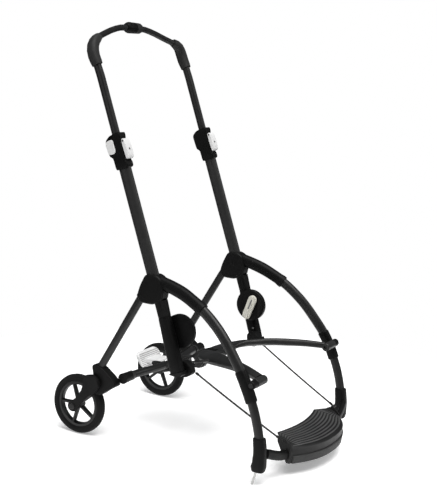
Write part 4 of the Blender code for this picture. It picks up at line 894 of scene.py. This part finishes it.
# ------------------------------------------------------------------ rear legs, wheels
BRACKET = [(-0.0500, 0.1960), (-0.0590, 0.2030), (-0.0680, 0.2030), (-0.0860, 0.1950), (-0.1150, 0.1740), (-0.1270, 0.1600),
           (-0.1260, 0.1530), (-0.1020, 0.1390), (-0.0780, 0.1200), (-0.0560, 0.1240), (-0.0530, 0.1500), (-0.0550, 0.1760)]
ARM = [(-0.0330, 0.1700), (-0.0620, 0.1770), (-0.0790, 0.1660), (-0.0840, 0.1500), (-0.0740, 0.1330), (-0.0480, 0.1140), (-0.0250, 0.0900),
       (-0.0150, 0.0700), (0.0010, 0.0640), (0.0150, 0.0700), (0.0160, 0.0860), (-0.0090, 0.1040), (-0.0270, 0.1290), (-0.0320, 0.1520)]
for s, tag in ((-1.0, "_r"), (1.0, "_l")):
    p, q = Vector((s * STRUT_X, *FOLD_PIVOT)), Vector((s * STRUT_X, *STRUT_LOW))
    d = (q - p).normalized()
    path = [p - d * 0.0085, p - d * 0.006, p + d * 0.012, q + d * 0.020]
    strut = sweep(path, [(0.0076, 0.0080), (0.0080, 0.0098), STRUT, STRUT], 16, 2.6)
    strut = join(strut, turned([(0.1972, 0.0040), (0.2220, 0.0040)], *FOLD_PIVOT, 16, s))
    node("rear_strut" + tag, strut, TUBE, (0, *FOLD_PIVOT))

    bracket = prism(BRACKET, s * 0.1935, s * 0.2205, 0.003)
    bearing = turned([(0.1660, 0.0118), (0.1668, 0.0124), (0.1980, 0.0138)], AXLE_PIVOT[0], AXLE_PIVOT[1], 20, s)
    bracket = join(bracket, bearing)
    bracket = cut(bracket, turned([(0.1600, 0.0845), (0.2150, 0.0845)], 0.0, WHEEL_R, 48, s))
    bracket = cut(bracket, sweep([q - d * 0.03, q + d * 0.0205], grown(STRUT, GAP), 16, 2.6))
    bracket = cut(bracket, turned([(0.1600, 0.0101), (0.1900, 0.0101)], *AXLE_PIVOT, 20, s))
    node("rear_bracket" + tag, bracket, PLASTIC, (0, *FOLD_PIVOT))

    arm = prism(ARM, s * 0.2210, s * 0.2320, 0.002)
    inner = turned([(0.2145, 0.0125), (0.2215, 0.0140)], 0.0, WHEEL_R, 20, s)
    arm = join(arm, inner)
    arm = cut(arm, turned([(0.2100, 0.0045), (0.2400, 0.0045)], 0.0, WHEEL_R, 16, s))
    node("wheel_arm" + tag, arm, PLASTIC, (0, *FOLD_PIVOT))

    bolt = turned([(0.1860, 0.0066), (0.1868, 0.0075), (0.1888, 0.0075), (0.1888, 0.0040), (0.2324, 0.0040), (0.2324, 0.0078), (0.2340, 0.0078), (0.2352, 0.0062)],
                  0.0, WHEEL_R, 16, s)
    node("axle_bolt" + tag, bolt, BLACK_STEEL, (0, 0.0, WHEEL_R))

    w = WHEEL_W / 2
    tread = []
    for k in range(7):
        a = math.pi * k / 6
        tread.append((WHEEL_X - w * math.cos(a), WHEEL_R - 0.0095 + 0.0095 * math.sin(a) ** 0.8))
    tyre_profile = [(WHEEL_X - w * 0.72, RIM_R), (WHEEL_X - w * 0.94, RIM_R + 0.003)] + tread + [(WHEEL_X + w * 0.94, RIM_R + 0.003), (WHEEL_X + w * 0.72, RIM_R)]
    node("tyre" + tag, ring_solid(tyre_profile, 0.0, WHEEL_R, 32, s), FOAM, (s * WHEEL_X, 0.0, WHEEL_R))

    band = ring_solid([(WHEEL_X - 0.0082, RIM_R - GAP), (WHEEL_X - 0.0086, 0.0545), (WHEEL_X - 0.0060, 0.0525), (WHEEL_X + 0.0060, 0.0525),
                       (WHEEL_X + 0.0086, 0.0545), (WHEEL_X + 0.0082, RIM_R - GAP)], 0.0, WHEEL_R, 32, s)
    hub = turned([(WHEEL_X - 0.0108, 0.0115), (WHEEL_X - 0.0098, 0.0130), (WHEEL_X + 0.0125, 0.0130), (WHEEL_X + 0.0135, 0.0115)], 0.0, WHEEL_R, 16, s)
    for k in range(5):
        a = math.radians((103 if s > 0 else -1) + 72 * k)
        o = Vector((s * WHEEL_X, 0.0, WHEEL_R))
        e = Vector((0, math.cos(a), math.sin(a)))
        hub = join(hub, sweep([o + e * 0.008, o + e * 0.0545], [(0.0072, 0.0048), (0.0062, 0.0038)], 8, 3.0))
    rim = join(band, hub)
    rim = cut(rim, turned([(WHEEL_X - 0.02, 0.0046), (WHEEL_X + 0.02, 0.0046)], 0.0, WHEEL_R, 16, s))
    node("rim" + tag, rim, RIM, (s * WHEEL_X, 0.0, WHEEL_R))

# ------------------------------------------------------------------ rear yoke: axle tube with its forward spine
AXLE_LINE = [(0.1600, -0.1345, 0.1722), (0.1400, -0.1375, 0.1728), (0.1150, -0.1430, 0.1740), (0.0850, -0.1490, 0.1740), (0.0500, -0.1530, 0.1732), (0.0200, -0.1545, 0.1728)]
axle_points = [Vector((0.1580, *AXLE_PIVOT))] + [Vector(p) for p in AXLE_LINE[1:]] + [Vector((-p[0], p[1], p[2])) for p in AXLE_LINE[1:][::-1]] + [Vector((-0.1580, *AXLE_PIVOT))]
axle = sweep(axle_points, (0.0102, 0.0102), 16, 2.0, Z)
for s in (-1.0, 1.0):
    # dark ring and journal that turns in the bracket
    axle = join(axle, turned([(0.1560, 0.0126), (0.1650, 0.0126)], *AXLE_PIVOT, 16, s))
    axle = join(axle, turned([(0.1600, 0.0095), (0.1885, 0.0095)], *AXLE_PIVOT, 20, s))
SPINE = [(-0.1480, 0.1835), (-0.1700, 0.1905), (-0.2000, 0.2025), (-0.2150, 0.2060), (-0.2520, 0.2065), (-0.2610, 0.2030), (-0.2665, 0.1920), (-0.2630, 0.1825),
         (-0.2520, 0.1780), (-0.2000, 0.1740), (-0.1700, 0.1650), (-0.1480, 0.1625)]
axle = join(axle, prism(SPINE, -0.0080, 0.0080, 0.0015))
for s in (-1.0, 1.0):
    wing = [(s * 0.004, -0.150), (s * 0.048, -0.152), (s * 0.030, -0.168), (s * 0.004, -0.188)]
    axle = join(axle, slab(wing if s > 0 else wing[::-1], lambda x, y: 0.1790, 0.011))
    ear = prism([(-0.1560, 0.1740), (-0.1500, 0.1832), (-0.1260, 0.1822), (-0.1185, 0.1790), (-0.1175, 0.1735), (-0.1230, 0.1690), (-0.1440, 0.1670)],
                s * 0.0308, s * 0.0378, 0.001)
    axle = join(axle, ear)
    axle = cut(axle, turned([(0.0300, 0.0029), (0.0353, 0.0029)], *PEDAL_PIVOT, 12, s))
# slot for the knee pin: as long as the pin needs while the two yokes fold at even rates
slot = [(KNEE[0] - 0.0042, KNEE[1] + 0.0010), (KNEE[0] - 0.0028, KNEE[1] - 0.0040), (KNEE[0] + 0.0070, KNEE[1] - 0.0072), (KNEE[0] + 0.0240, KNEE[1] - 0.0072),
        (KNEE[0] + 0.0335, KNEE[1] - 0.0030), (KNEE[0] + 0.0355, KNEE[1] + 0.0040), (KNEE[0] + 0.0330, KNEE[1] + 0.0105), (KNEE[0] + 0.0240, KNEE[1] + 0.0132),
        (KNEE[0] + 0.0140, KNEE[1] + 0.0125), (KNEE[0] - 0.0015, KNEE[1] + 0.0040)]
axle = cut(axle, prism(slot, -0.0200, 0.0200))
node("rear_axle", axle, TUBE, (0, *AXLE_PIVOT))

# brake pedal: a wide slanted tread plate behind the axle tube, its hinge arm on two trunnions
PEDAL_PLATE = [(-0.0720, 0.1975), (-0.0790, 0.1965), (-0.0870, 0.1835), (-0.0950, 0.1705), (-0.1030, 0.1570), (-0.0985, 0.1550), (-0.0900, 0.1665), (-0.0815, 0.1790),
               (-0.0740, 0.1895), (-0.0700, 0.1950)]
PEDAL_ARM = [(-0.1290, 0.1760), (-0.1245, 0.1806), (-0.1120, 0.1800), (-0.0865, 0.1795), (-0.0885, 0.1725), (-0.1150, 0.1705), (-0.1255, 0.1708)]
plate_rings = []
for k in range(33):
    # the plate's corners are rounded: its length shrinks towards both sides
    x = 0.0500 * math.sin(math.pi * (k / 32 - 0.5))
    over = max(0.0, abs(x) - 0.0340) / 0.0160
    keep = 0.45 + 0.55 * math.sqrt(max(0.0, 1.0 - over * over))
    ring = []
    for y, z in eased(PEDAL_PLATE, 1):
        d = (y + 0.0865) * 0.5299 + (z - 0.1760) * 0.8480
        ring.append((x, y - 0.5299 * d * (1 - keep), z - 0.8480 * d * (1 - keep)))
    plate_rings.append(ring)
pedal = join(loft(plate_rings), prism(PEDAL_ARM, -0.0285, 0.0285))
for s in (-1.0, 1.0):
    pedal = join(pedal, turned([(0.0240, 0.0024), (0.0347, 0.0024)], *PEDAL_PIVOT, 12, s))
node("brake_pedal", pedal, WHITE, (0, *PEDAL_PIVOT))

# ------------------------------------------------------------------ front yoke: a wishbone with the knee lugs, a rear lip bar and two pivot barrels
WISH = [(0.000, -0.2900, 0.2265, 0.0360), (0.050, -0.3030, 0.2320, 0.0300), (0.090, -0.3350, 0.2400, 0.0240), (0.120, -0.3810, 0.2460, 0.0190),
        (0.143, -0.4310, 0.2490, 0.0150), (0.168, -0.4810, 0.2490, 0.0120), (0.1905, -0.5235, 0.2455, 0.0105)]
WISH_DEEP = [0.0068, 0.0074, 0.0086, 0.0096, 0.0098, 0.0090, 0.0085]     # half depth at the same stations
TILT = math.radians(20.0)
half_line = smooth_path([p[:3] for p in WISH], 13)
half_wide = [WISH[int(i / 2)][3] * (1 - (i / 2) % 1) + WISH[min(int(i / 2) + 1, 6)][3] * ((i / 2) % 1) for i in range(13)]
half_deep = [WISH_DEEP[int(i / 2)] * (1 - (i / 2) % 1) + WISH_DEEP[min(int(i / 2) + 1, 6)] * ((i / 2) % 1) for i in range(13)]
full_line = mirrored(half_line[::-1][:-1], -1.0) + half_line
full_wide = half_wide[::-1][:-1] + half_wide
full_deep = half_deep[::-1][:-1] + half_deep
rings = []
for i, c in enumerate(full_line):
    before = (c - full_line[i - 1]).normalized() if i else (full_line[1] - c).normalized()
    after = (full_line[i + 1] - c).normalized() if i + 1 < len(full_line) else before
    t = (before + after).normalized()
    out = t.cross(Z).normalized()            # towards the front and the inside of the wishbone
    up = out.cross(t).normalized()
    tilt = TILT * min(1.0, abs(c.x) / 0.09)
    o2 = out * math.cos(tilt) + up * math.sin(tilt)
    u2 = up * math.cos(tilt) - out * math.sin(tilt)
    rings.append([c + o2 * a + u2 * b for a, b in superellipse(full_wide[i], full_deep[i], 10, 3.2)])
wish = loft(rings)
wish = cut(wish, prism([(-0.2300, 0.2000), (-0.2300, 0.2600), (-0.2985, 0.2600), (-0.2985, 0.2000)], -0.0100, 0.0100))
for s in (-1.0, 1.0):
    wish = join(wish, rod((s * 0.1820, *YOKE_PIVOT), (s * 0.2285, *YOKE_PIVOT), 0.0110, 16, 0.0008))
    lug = prism([(-0.2335, 0.2145), (-0.2330, 0.2085), (-0.2400, 0.2010), (-0.2430, 0.1850), (-0.2500, 0.1802), (-0.2570, 0.1812), (-0.2620, 0.1880),
                 (-0.2700, 0.2030), (-0.3060, 0.2240), (-0.3000, 0.2272), (-0.2500, 0.2278)], s * 0.0103, s * 0.0168)
    wish = join(wish, lug)
LIP = [(0.1040, -0.3640, 0.2440), (0.1300, -0.3200, 0.2370), (0.1290, -0.2850, 0.2275), (0.1120, -0.2530, 0.2185), (0.0800, -0.2390, 0.2135), (0.0400, -0.2360, 0.2120), (0.0000, -0.2355, 0.2118)]
lip_half = smooth_path(LIP, 10)
wish = join(wish, sweep(lip_half + mirrored(lip_half[::-1][1:], -1.0), (0.0030, 0.0030), 8, 2.0, Z))
wish = cut(wish, rod((-0.30, *YOKE_PIVOT), (0.30, *YOKE_PIVOT), 0.0045, 16))
wish = cut(wish, rod((-0.0185, *KNEE), (0.0185, *KNEE), 0.0034, 12))
node("cross_frame", wish, TUBE, (0, *YOKE_PIVOT))
node("knee_pin", rod((-0.0164, *KNEE), (0.0164, *KNEE), 0.0030, 12), BLACK_STEEL, (0, *KNEE))

# ------------------------------------------------------------------ footrest on the front crossbar
node("front_crossbar", sweep(bar_line, BAR_SIZE, 14, 2.8, Z), PLASTIC)


def front_edge(x):
    """y of the footrest's front top edge."""
    return -0.6480 + 0.0485 * (abs(x) / 0.147) ** 2.4


def rear_edge(x):
    return -0.5560 + 0.0165 * (abs(x) / 0.110) ** 2.0 if abs(x) < 0.110 else -0.5395 - 0.0300 * (abs(x) - 0.110) / 0.037


def foot_section(x, inset=0.0):
    yf, yr = front_edge(x), rear_edge(x)
    t = 0.0032
    return [(x, yr, 0.0905), (x, yr + (yf - yr) * 0.5, 0.0842), (x, yf + 0.0040, 0.0755), (x, yf, 0.0715), (x, yf + 0.0015, 0.0540), (x, yf + 0.0046, 0.0330),
            (x, yf + 0.0046 + t, 0.0330), (x, yf + 0.0015 + t, 0.0540), (x, yf + 0.0040 + t, 0.0715 - 0.001), (x, yr + (yf - yr) * 0.5, 0.0842 - t), (x, yr, 0.0905 - t)]


# side walls: the shell's section widens into a full cheek at each end
CHEEK = [(-0.5600, 0.0885), (-0.5680, 0.0925), (-0.5830, 0.0925), (-0.5950, 0.0820), (-0.5995, 0.0600), (-0.5960, 0.0330),
         (-0.5870, 0.0335), (-0.5825, 0.0420), (-0.5740, 0.0560), (-0.5665, 0.0720), (-0.5610, 0.0830)]


def cheek_section(x, inset):
    cy, cz = -0.5770, 0.0680
    return [(x, cy + (y - cy) * inset, cz + (z - cz) * inset) for y, z in CHEEK]


stations = [-0.1448 + 0.0181 * i for i in range(17)]
foot = loft([cheek_section(-0.1500, 0.975), cheek_section(-0.1490, 1.0), cheek_section(-0.1456, 1.0)] + [foot_section(x) for x in stations]
            + [cheek_section(0.1456, 1.0), cheek_section(0.1490, 1.0), cheek_section(0.1500, 0.975)])
for s in (-1.0, 1.0):
    # boss that the brace wire ends on
    foot = join(foot, rod((s * 0.1462, *WIRE_BOSS), (s * 0.1645, *WIRE_BOSS), 0.0045, 10))
foot = cut(foot, bar_cutter())
node("footrest", foot, PLASTIC_TOP)

stations = [-0.1425 + 0.0178125 * i for i in range(17)]
strip = []
for x in stations:
    yf = front_edge(x)
    y0, y1 = yf + 0.0015 + 0.0031 * (0.0540 - 0.0525) / 0.021, yf + 0.0015 + 0.0031 * (0.0540 - 0.0320) / 0.021
    strip.append([(x, y0 - GAP, 0.0525), (x, y0 - GAP - 0.0032, 0.0515), (x, y1 - GAP - 0.0032, 0.0330), (x, y1 - GAP, 0.0320)])
node("footrest_bumper", loft(strip), BUMPER)

# ------------------------------------------------------------------ brace wires with their end ferrules
WIRE_TOP = (0.1785, -0.3392, 0.2225)
for s, tag in ((-1.0, "_r"), (1.0, "_l")):
    a, b = Vector((s * WIRE_TOP[0], WIRE_TOP[1], WIRE_TOP[2])), Vector((s * 0.1590, *WIRE_BOSS))
    run = (b - a).normalized()
    b = b - run * 0.0060
    pts = []
    for i in range(33):
        t = i / 32
        p = a.lerp(b, t)
        p.z -= 0.0020 * 4 * t * (1 - t)
        pts.append(p)
    node("brace_wire" + tag, sweep(pts, (0.0024, 0.0024), 8, 2.0, X), WIRE)
    ferrules = [rod(pts[0] + run * 0.0015, pts[0] + run * 0.0100, 0.0033, 10, 0.0006), rod(pts[-1] - run * 0.0095, pts[-1] + run * 0.0005, 0.0033, 10, 0.0006)]
    extra("wire_ferrules" + tag, merged(ferrules), DARK, "post_foot" + tag)

# ------------------------------------------------------------------ small details
for s, tag in ((-1.0, "_r"), (1.0, "_l")):
    # socket screws: on the hub's inner side, the post and the wheel arm's bolt
    def screw(x, y, z, r, outward, depth=0.0012):
        """A round screw head with a hexagon socket, its axis across the frame."""
        head = turned([(x - outward * 0.0008, r), (x + outward * depth * 0.6, r), (x + outward * depth, r * 0.86)], y, z, 12, 1.0)
        return cut(head, turned([(x + outward * depth * 0.25, r * 0.5), (x + outward * 0.01, r * 0.5)], y, z, 3, 1.0))

    inner = -s
    extra("hub_screws" + tag, merged([screw(s * 0.1945, -0.2290, 0.4300, 0.0050, inner), screw(s * 0.1945, -0.2500, 0.4080, 0.0032, inner)]), DARK, "hub" + tag)
    extra("hub_cap" + tag, merged([screw(s * 0.2265, FOLD_PIVOT[0], FOLD_PIVOT[1], 0.0062, s, 0.0010)]), HUBMAT, "hub" + tag)
    extra("bolt_socket" + tag, merged([screw(s * 0.2351, 0.0, WHEEL_R, 0.0060, s, 0.0009)]), BLACK_STEEL, "axle_bolt" + tag)
    extra("post_screw" + tag, merged([screw(s * 0.1966, -0.3017, 0.2564, 0.0028, inner, 0.0010)]), PALE, "post" + tag)
    # rivets on the inner side of the arm that carries the front leg
    rings = [ring_solid([(s * 0.2012, 0.0030), (s * 0.1992, 0.0030), (s * 0.1984, 0.0036), (s * 0.1984, 0.0046), (s * 0.1992, 0.0054), (s * 0.2012, 0.0054)], -0.2860, 0.4400, 18)]
    rings += [screw(s * 0.2024, -0.3229, 0.4265, 0.0026, inner, 0.0010), screw(s * 0.2026, -0.3328, 0.4178, 0.0024, inner, 0.0010)]
    extra("arm_rivets" + tag, merged(rings), DARK, "hub" + tag)
    extra("arm_rivet_core" + tag, turned([(s * 0.2012, 0.0024), (s * 0.1992, 0.0024), (s * 0.1987, 0.0018)], -0.2860, 0.4400, 12), PALE, "hub" + tag)
    # raised face on the seat lock lever
    low_y, low_z = DISC_C[0] - 0.0025, DISC_C[1]
    step = []
    for k in range(13):
        q0 = math.pi * k / 12
        v = Vector((0, low_y, low_z)) - lever_dir * 0.0170 + side * (0.0088 * math.cos(q0)) - lever_dir * (0.0088 * math.sin(q0))
        step.append((v.y, v.z))
    for k in range(13):
        q0 = math.pi * k / 12
        v = Vector((0, low_y, low_z)) + lever_dir * 0.0240 - side * (0.0070 * math.cos(q0)) + lever_dir * (0.0050 * math.sin(q0))
        step.append((v.y, v.z))
    bm = bmesh.new()
    outer = [bm.verts.new((s * 0.1753, y, z)) for y, z in step]
    mid = [bm.verts.new((s * 0.1738, y, z)) for y, z in step]
    cy, cz = sum(p[0] for p in step) / len(step), sum(p[1] for p in step) / len(step)
    top = [bm.verts.new((s * 0.1731, cy + (y - cy) * 0.93, cz + (z - cz) * 0.93)) for y, z in step]
    for r0, r1 in ((outer, mid), (mid, top)):
        for k in range(len(step)):
            bm.faces.new((r0[k], r0[(k + 1) % len(step)], r1[(k + 1) % len(step)], r1[k]))
    bm.faces.new(outer[::-1])
    bm.faces.new(top)
    extra("seat_lock_face" + tag, mesh_object("face", bm), WHITE_DULL, "seat_lock" + tag)
    foot_step = []
    for k in range(13):
        q0 = math.pi * k / 12
        v = Vector((0, low_y, low_z)) + lever_dir * 0.0150 + side * (0.0105 * math.cos(q0)) - lever_dir * (0.0020 * math.sin(q0))
        foot_step.append((v.y, v.z))
    for k in range(13):
        q0 = math.pi * k / 12
        v = Vector((0, low_y, low_z)) + lever_dir * 0.0340 - side * (0.0098 * math.cos(q0)) + lever_dir * (0.0040 * math.sin(q0))
        foot_step.append((v.y, v.z))
    fy, fz = sum(p[0] for p in foot_step) / 26, sum(p[1] for p in foot_step) / 26
    extra("seat_lock_step" + tag, loft([[(s * 0.1753, y, z) for y, z in foot_step], [(s * 0.1730, y, z) for y, z in foot_step],
                                        [(s * 0.1722, fy + (y - fy) * 0.9, fz + (z - fz) * 0.93) for y, z in foot_step]]), WHITE_DULL, "seat_lock" + tag)
    # slot in the lever face: a thin grey strip painted as the slot's shade
    slot_line = [Vector((s * 0.1731, low_y, low_z)) + lever_dir * a for a in (-0.0190, -0.0180, 0.0090, 0.0100)]
    extra("seat_lock_slot_shade" + tag, sweep(slot_line, [(0.0006, 0.0012), (0.0006, 0.0022), (0.0006, 0.0022), (0.0006, 0.0012)], 8, 3.0, X), PALE, "seat_lock" + tag)
    # small dark peg on the clamp lever's lower end
    peg = handle_frame(s * 0.2110, -0.0030, -0.0272)
    away = Vector((0, -HANDLE_DIR.z, HANDLE_DIR.y))
    extra("lever_peg" + tag, rod(peg, peg + away * 0.0016, 0.0024, 14, 0.0004), DARK, "clamp_lever" + tag)

# footrest grooves: thin raised ribs that follow the front edge, coloured lighter than the footrest as a painted
# highlight
ribs = []
for k in range(9):
    f = 0.085 + 0.102 * k
    pts = []
    half = 0.139 - 0.0016 * k
    for i in range(41):
        x = -half + 2 * half * i / 40
        yf, yr = front_edge(x) + 0.0040, rear_edge(x)
        ym = yr + (front_edge(x) - yr) * 0.5
        y = yf + (yr - yf) * f
        z = 0.0755 + (0.0842 - 0.0755) * (y - yf) / (ym - yf) if y < ym else 0.0842 + (0.0905 - 0.0842) * (y - ym) / (yr - ym)
        pts.append(Vector((x, y, z + 0.0001)))
    ease_in = [min(1.0, 0.3 + min(i, 40 - i) * 0.35) for i in range(41)]
    ribs.append(sweep(pts, [(0.0023 * e, 0.0015 * e) for e in ease_in], 6, 2.2, Y))
extra("footrest_ribs", merged(ribs), RIB_PAINTED_HIGHLIGHT, "footrest")

# brake pedal ridges, with grey strips between them painted as the shade in the grooves
ridges, groove_shade_strips = [], []
for k in range(17):
    f = 0.07 + 0.0535 * k
    c = Vector((0, -0.0790, 0.1965)).lerp(Vector((0, -0.1030, 0.1570)), f)
    reach = max(0.0, abs(2.0 * f - 1.0) - 0.45) / 0.55
    half = 0.0340 + 0.0160 * math.sqrt(max(0.0, 1.0 - reach * reach)) - 0.0020
    if k % 2 == 0:
        ridges.append(sweep([Vector((x, c.y, c.z)) for x in (-half, 0.0012 - half, half - 0.0012, half)], [(0.0004, 0.0004), (0.0011, 0.0009), (0.0011, 0.0009), (0.0004, 0.0004)], 6, 2.0, Z))
    else:
        groove_shade_strips.append(sweep([Vector((-half, c.y, c.z)), Vector((half, c.y, c.z))], (0.0008, 0.0004), 6, 2.0, Z))
extra("pedal_ridges", merged(ridges), WHITE, "brake_pedal")
# painted shade: grey strips for the dark of the grooves between the ridges
extra("pedal_groove_shade", merged(groove_shade_strips), PALE, "brake_pedal")

# handle barrel: fine grooves beside the parting line, shown as thin raised bands
bands = []
for x in (-0.0185, -0.0155, -0.0125):
    bands.append(ring_solid([(x - 0.0007, 0.0135), (x - 0.0007, 0.0146), (x, 0.0149), (x + 0.0007, 0.0146), (x + 0.0007, 0.0135)], *HUB_YZ, 24))
extra("barrel_bands", merged(bands), DARK, "handle_hub")

# ------------------------------------------------------------------ stage, light and camera
def stage_floor():
    bm = bmesh.new()
    rows = []
    for i in range(1, 13):
        rows.append([bm.verts.new((1.15 * i / 12 * math.cos(math.pi * j / 24), 1.15 * i / 12 * math.sin(math.pi * j / 24), -0.0004)) for j in range(48)])
    bm.faces.new(rows[0])
    for a, b in zip(rows, rows[1:]):
        for j in range(48):
            bm.faces.new((a[j], b[j], b[(j + 1) % 48], a[(j + 1) % 48]))
    mesh = bpy.data.meshes.new("floor")
    bm.to_mesh(mesh)
    bm.free()
    floor = bpy.data.objects.new("floor", mesh)
    bpy.context.scene.collection.objects.link(floor)
    k = Maker("floor_paper", 0.7, 0.0)
    col = k.ramp(k.noise(3.0, 2.0), [(0.3, rgb(246)), (0.7, rgb(250))])
    k.bump(k.noise(400.0, 2.0), 0.00005, 0.2)
    k.bsdf.inputs["Emission Color"].default_value = (1.0, 1.0, 1.0, 1.0)
    k.bsdf.inputs["Emission Strength"].default_value = 0.30
    floor.data.materials.append(k.done(col))


stage_floor()

world = bpy.data.worlds.new("studio")
bpy.context.scene.world = world
world.use_nodes = True
wt = world.node_tree
dim = wt.nodes["Background"]
dim.inputs["Color"].default_value = (0.93, 0.96, 1.0, 1.0)
dim.inputs["Strength"].default_value = 0.10
paper = wt.nodes.new("ShaderNodeBackground")
paper.inputs["Color"].default_value = (1.0, 1.0, 1.0, 1.0)
paper.inputs["Strength"].default_value = 1.0
ray, blend = wt.nodes.new("ShaderNodeLightPath"), wt.nodes.new("ShaderNodeMixShader")
wt.links.new(ray.outputs["Is Camera Ray"], blend.inputs[0])
wt.links.new(dim.outputs[0], blend.inputs[1])
wt.links.new(paper.outputs[0], blend.inputs[2])
wt.links.new(blend.outputs[0], wt.nodes["World Output"].inputs["Surface"])


def area(name, place, target, size, power, tint=(1.0, 1.0, 1.0)):
    light = bpy.data.lights.new(name, "AREA")
    light.shape = "RECTANGLE"
    light.size, light.size_y = size
    light.energy = power
    light.color = tint
    obj = bpy.data.objects.new(name, light)
    bpy.context.scene.collection.objects.link(obj)
    obj.location = place
    obj.rotation_euler = (Vector(target) - Vector(place)).to_track_quat("-Z", "Y").to_euler()


area("key", (-1.6, -1.2, 2.9), (0.0, 0.0, 0.5), (1.2, 1.2), 30.0, (1.0, 0.98, 0.95))
area("fill", (-2.6, 1.6, 1.3), (0.0, 0.0, 0.5), (0.8, 1.4), 9.0)
area("rim", (1.4, -2.2, 1.9), (0.0, 0.0, 0.5), (0.8, 1.4), 16.0)
sky = bpy.data.lights.new("overhead", "SUN")
sky.energy = 3.1
sky.angle = math.radians(50.0)
over = bpy.data.objects.new("overhead", sky)
bpy.context.scene.collection.objects.link(over)
over.rotation_euler = Vector((0.25, 0.20, -1.0)).to_track_quat("-Z", "Y").to_euler()

EYE = (-2.36183, -1.31924, 0.97805)
RIGHT, UP, VIEW = ((0.4930426, -0.8688129, 0.0455325), (0.1284912, 0.1244797, 0.9838673), (0.8604644, 0.4792380, -0.1730086))
cam_data = bpy.data.cameras.new("camera")
cam_data.sensor_width = 36.0
cam_data.sensor_fit = "AUTO"
cam_data.lens = 1050.0 / 500.0 * 36.0
cam_data.clip_start = 0.05
cam_data.clip_end = 60.0
camera = bpy.data.objects.new("camera", cam_data)
bpy.context.scene.collection.objects.link(camera)
r, u, w = Vector(RIGHT), Vector(UP), Vector(VIEW)
camera.matrix_world = Matrix(((r.x, u.x, -w.x, EYE[0]), (r.y, u.y, -w.y, EYE[1]), (r.z, u.z, -w.z, EYE[2]), (0.0, 0.0, 0.0, 1.0)))
bpy.context.scene.camera = camera
bpy.context.scene.view_settings.view_transform = "Standard"

low, high = CAD_BOX
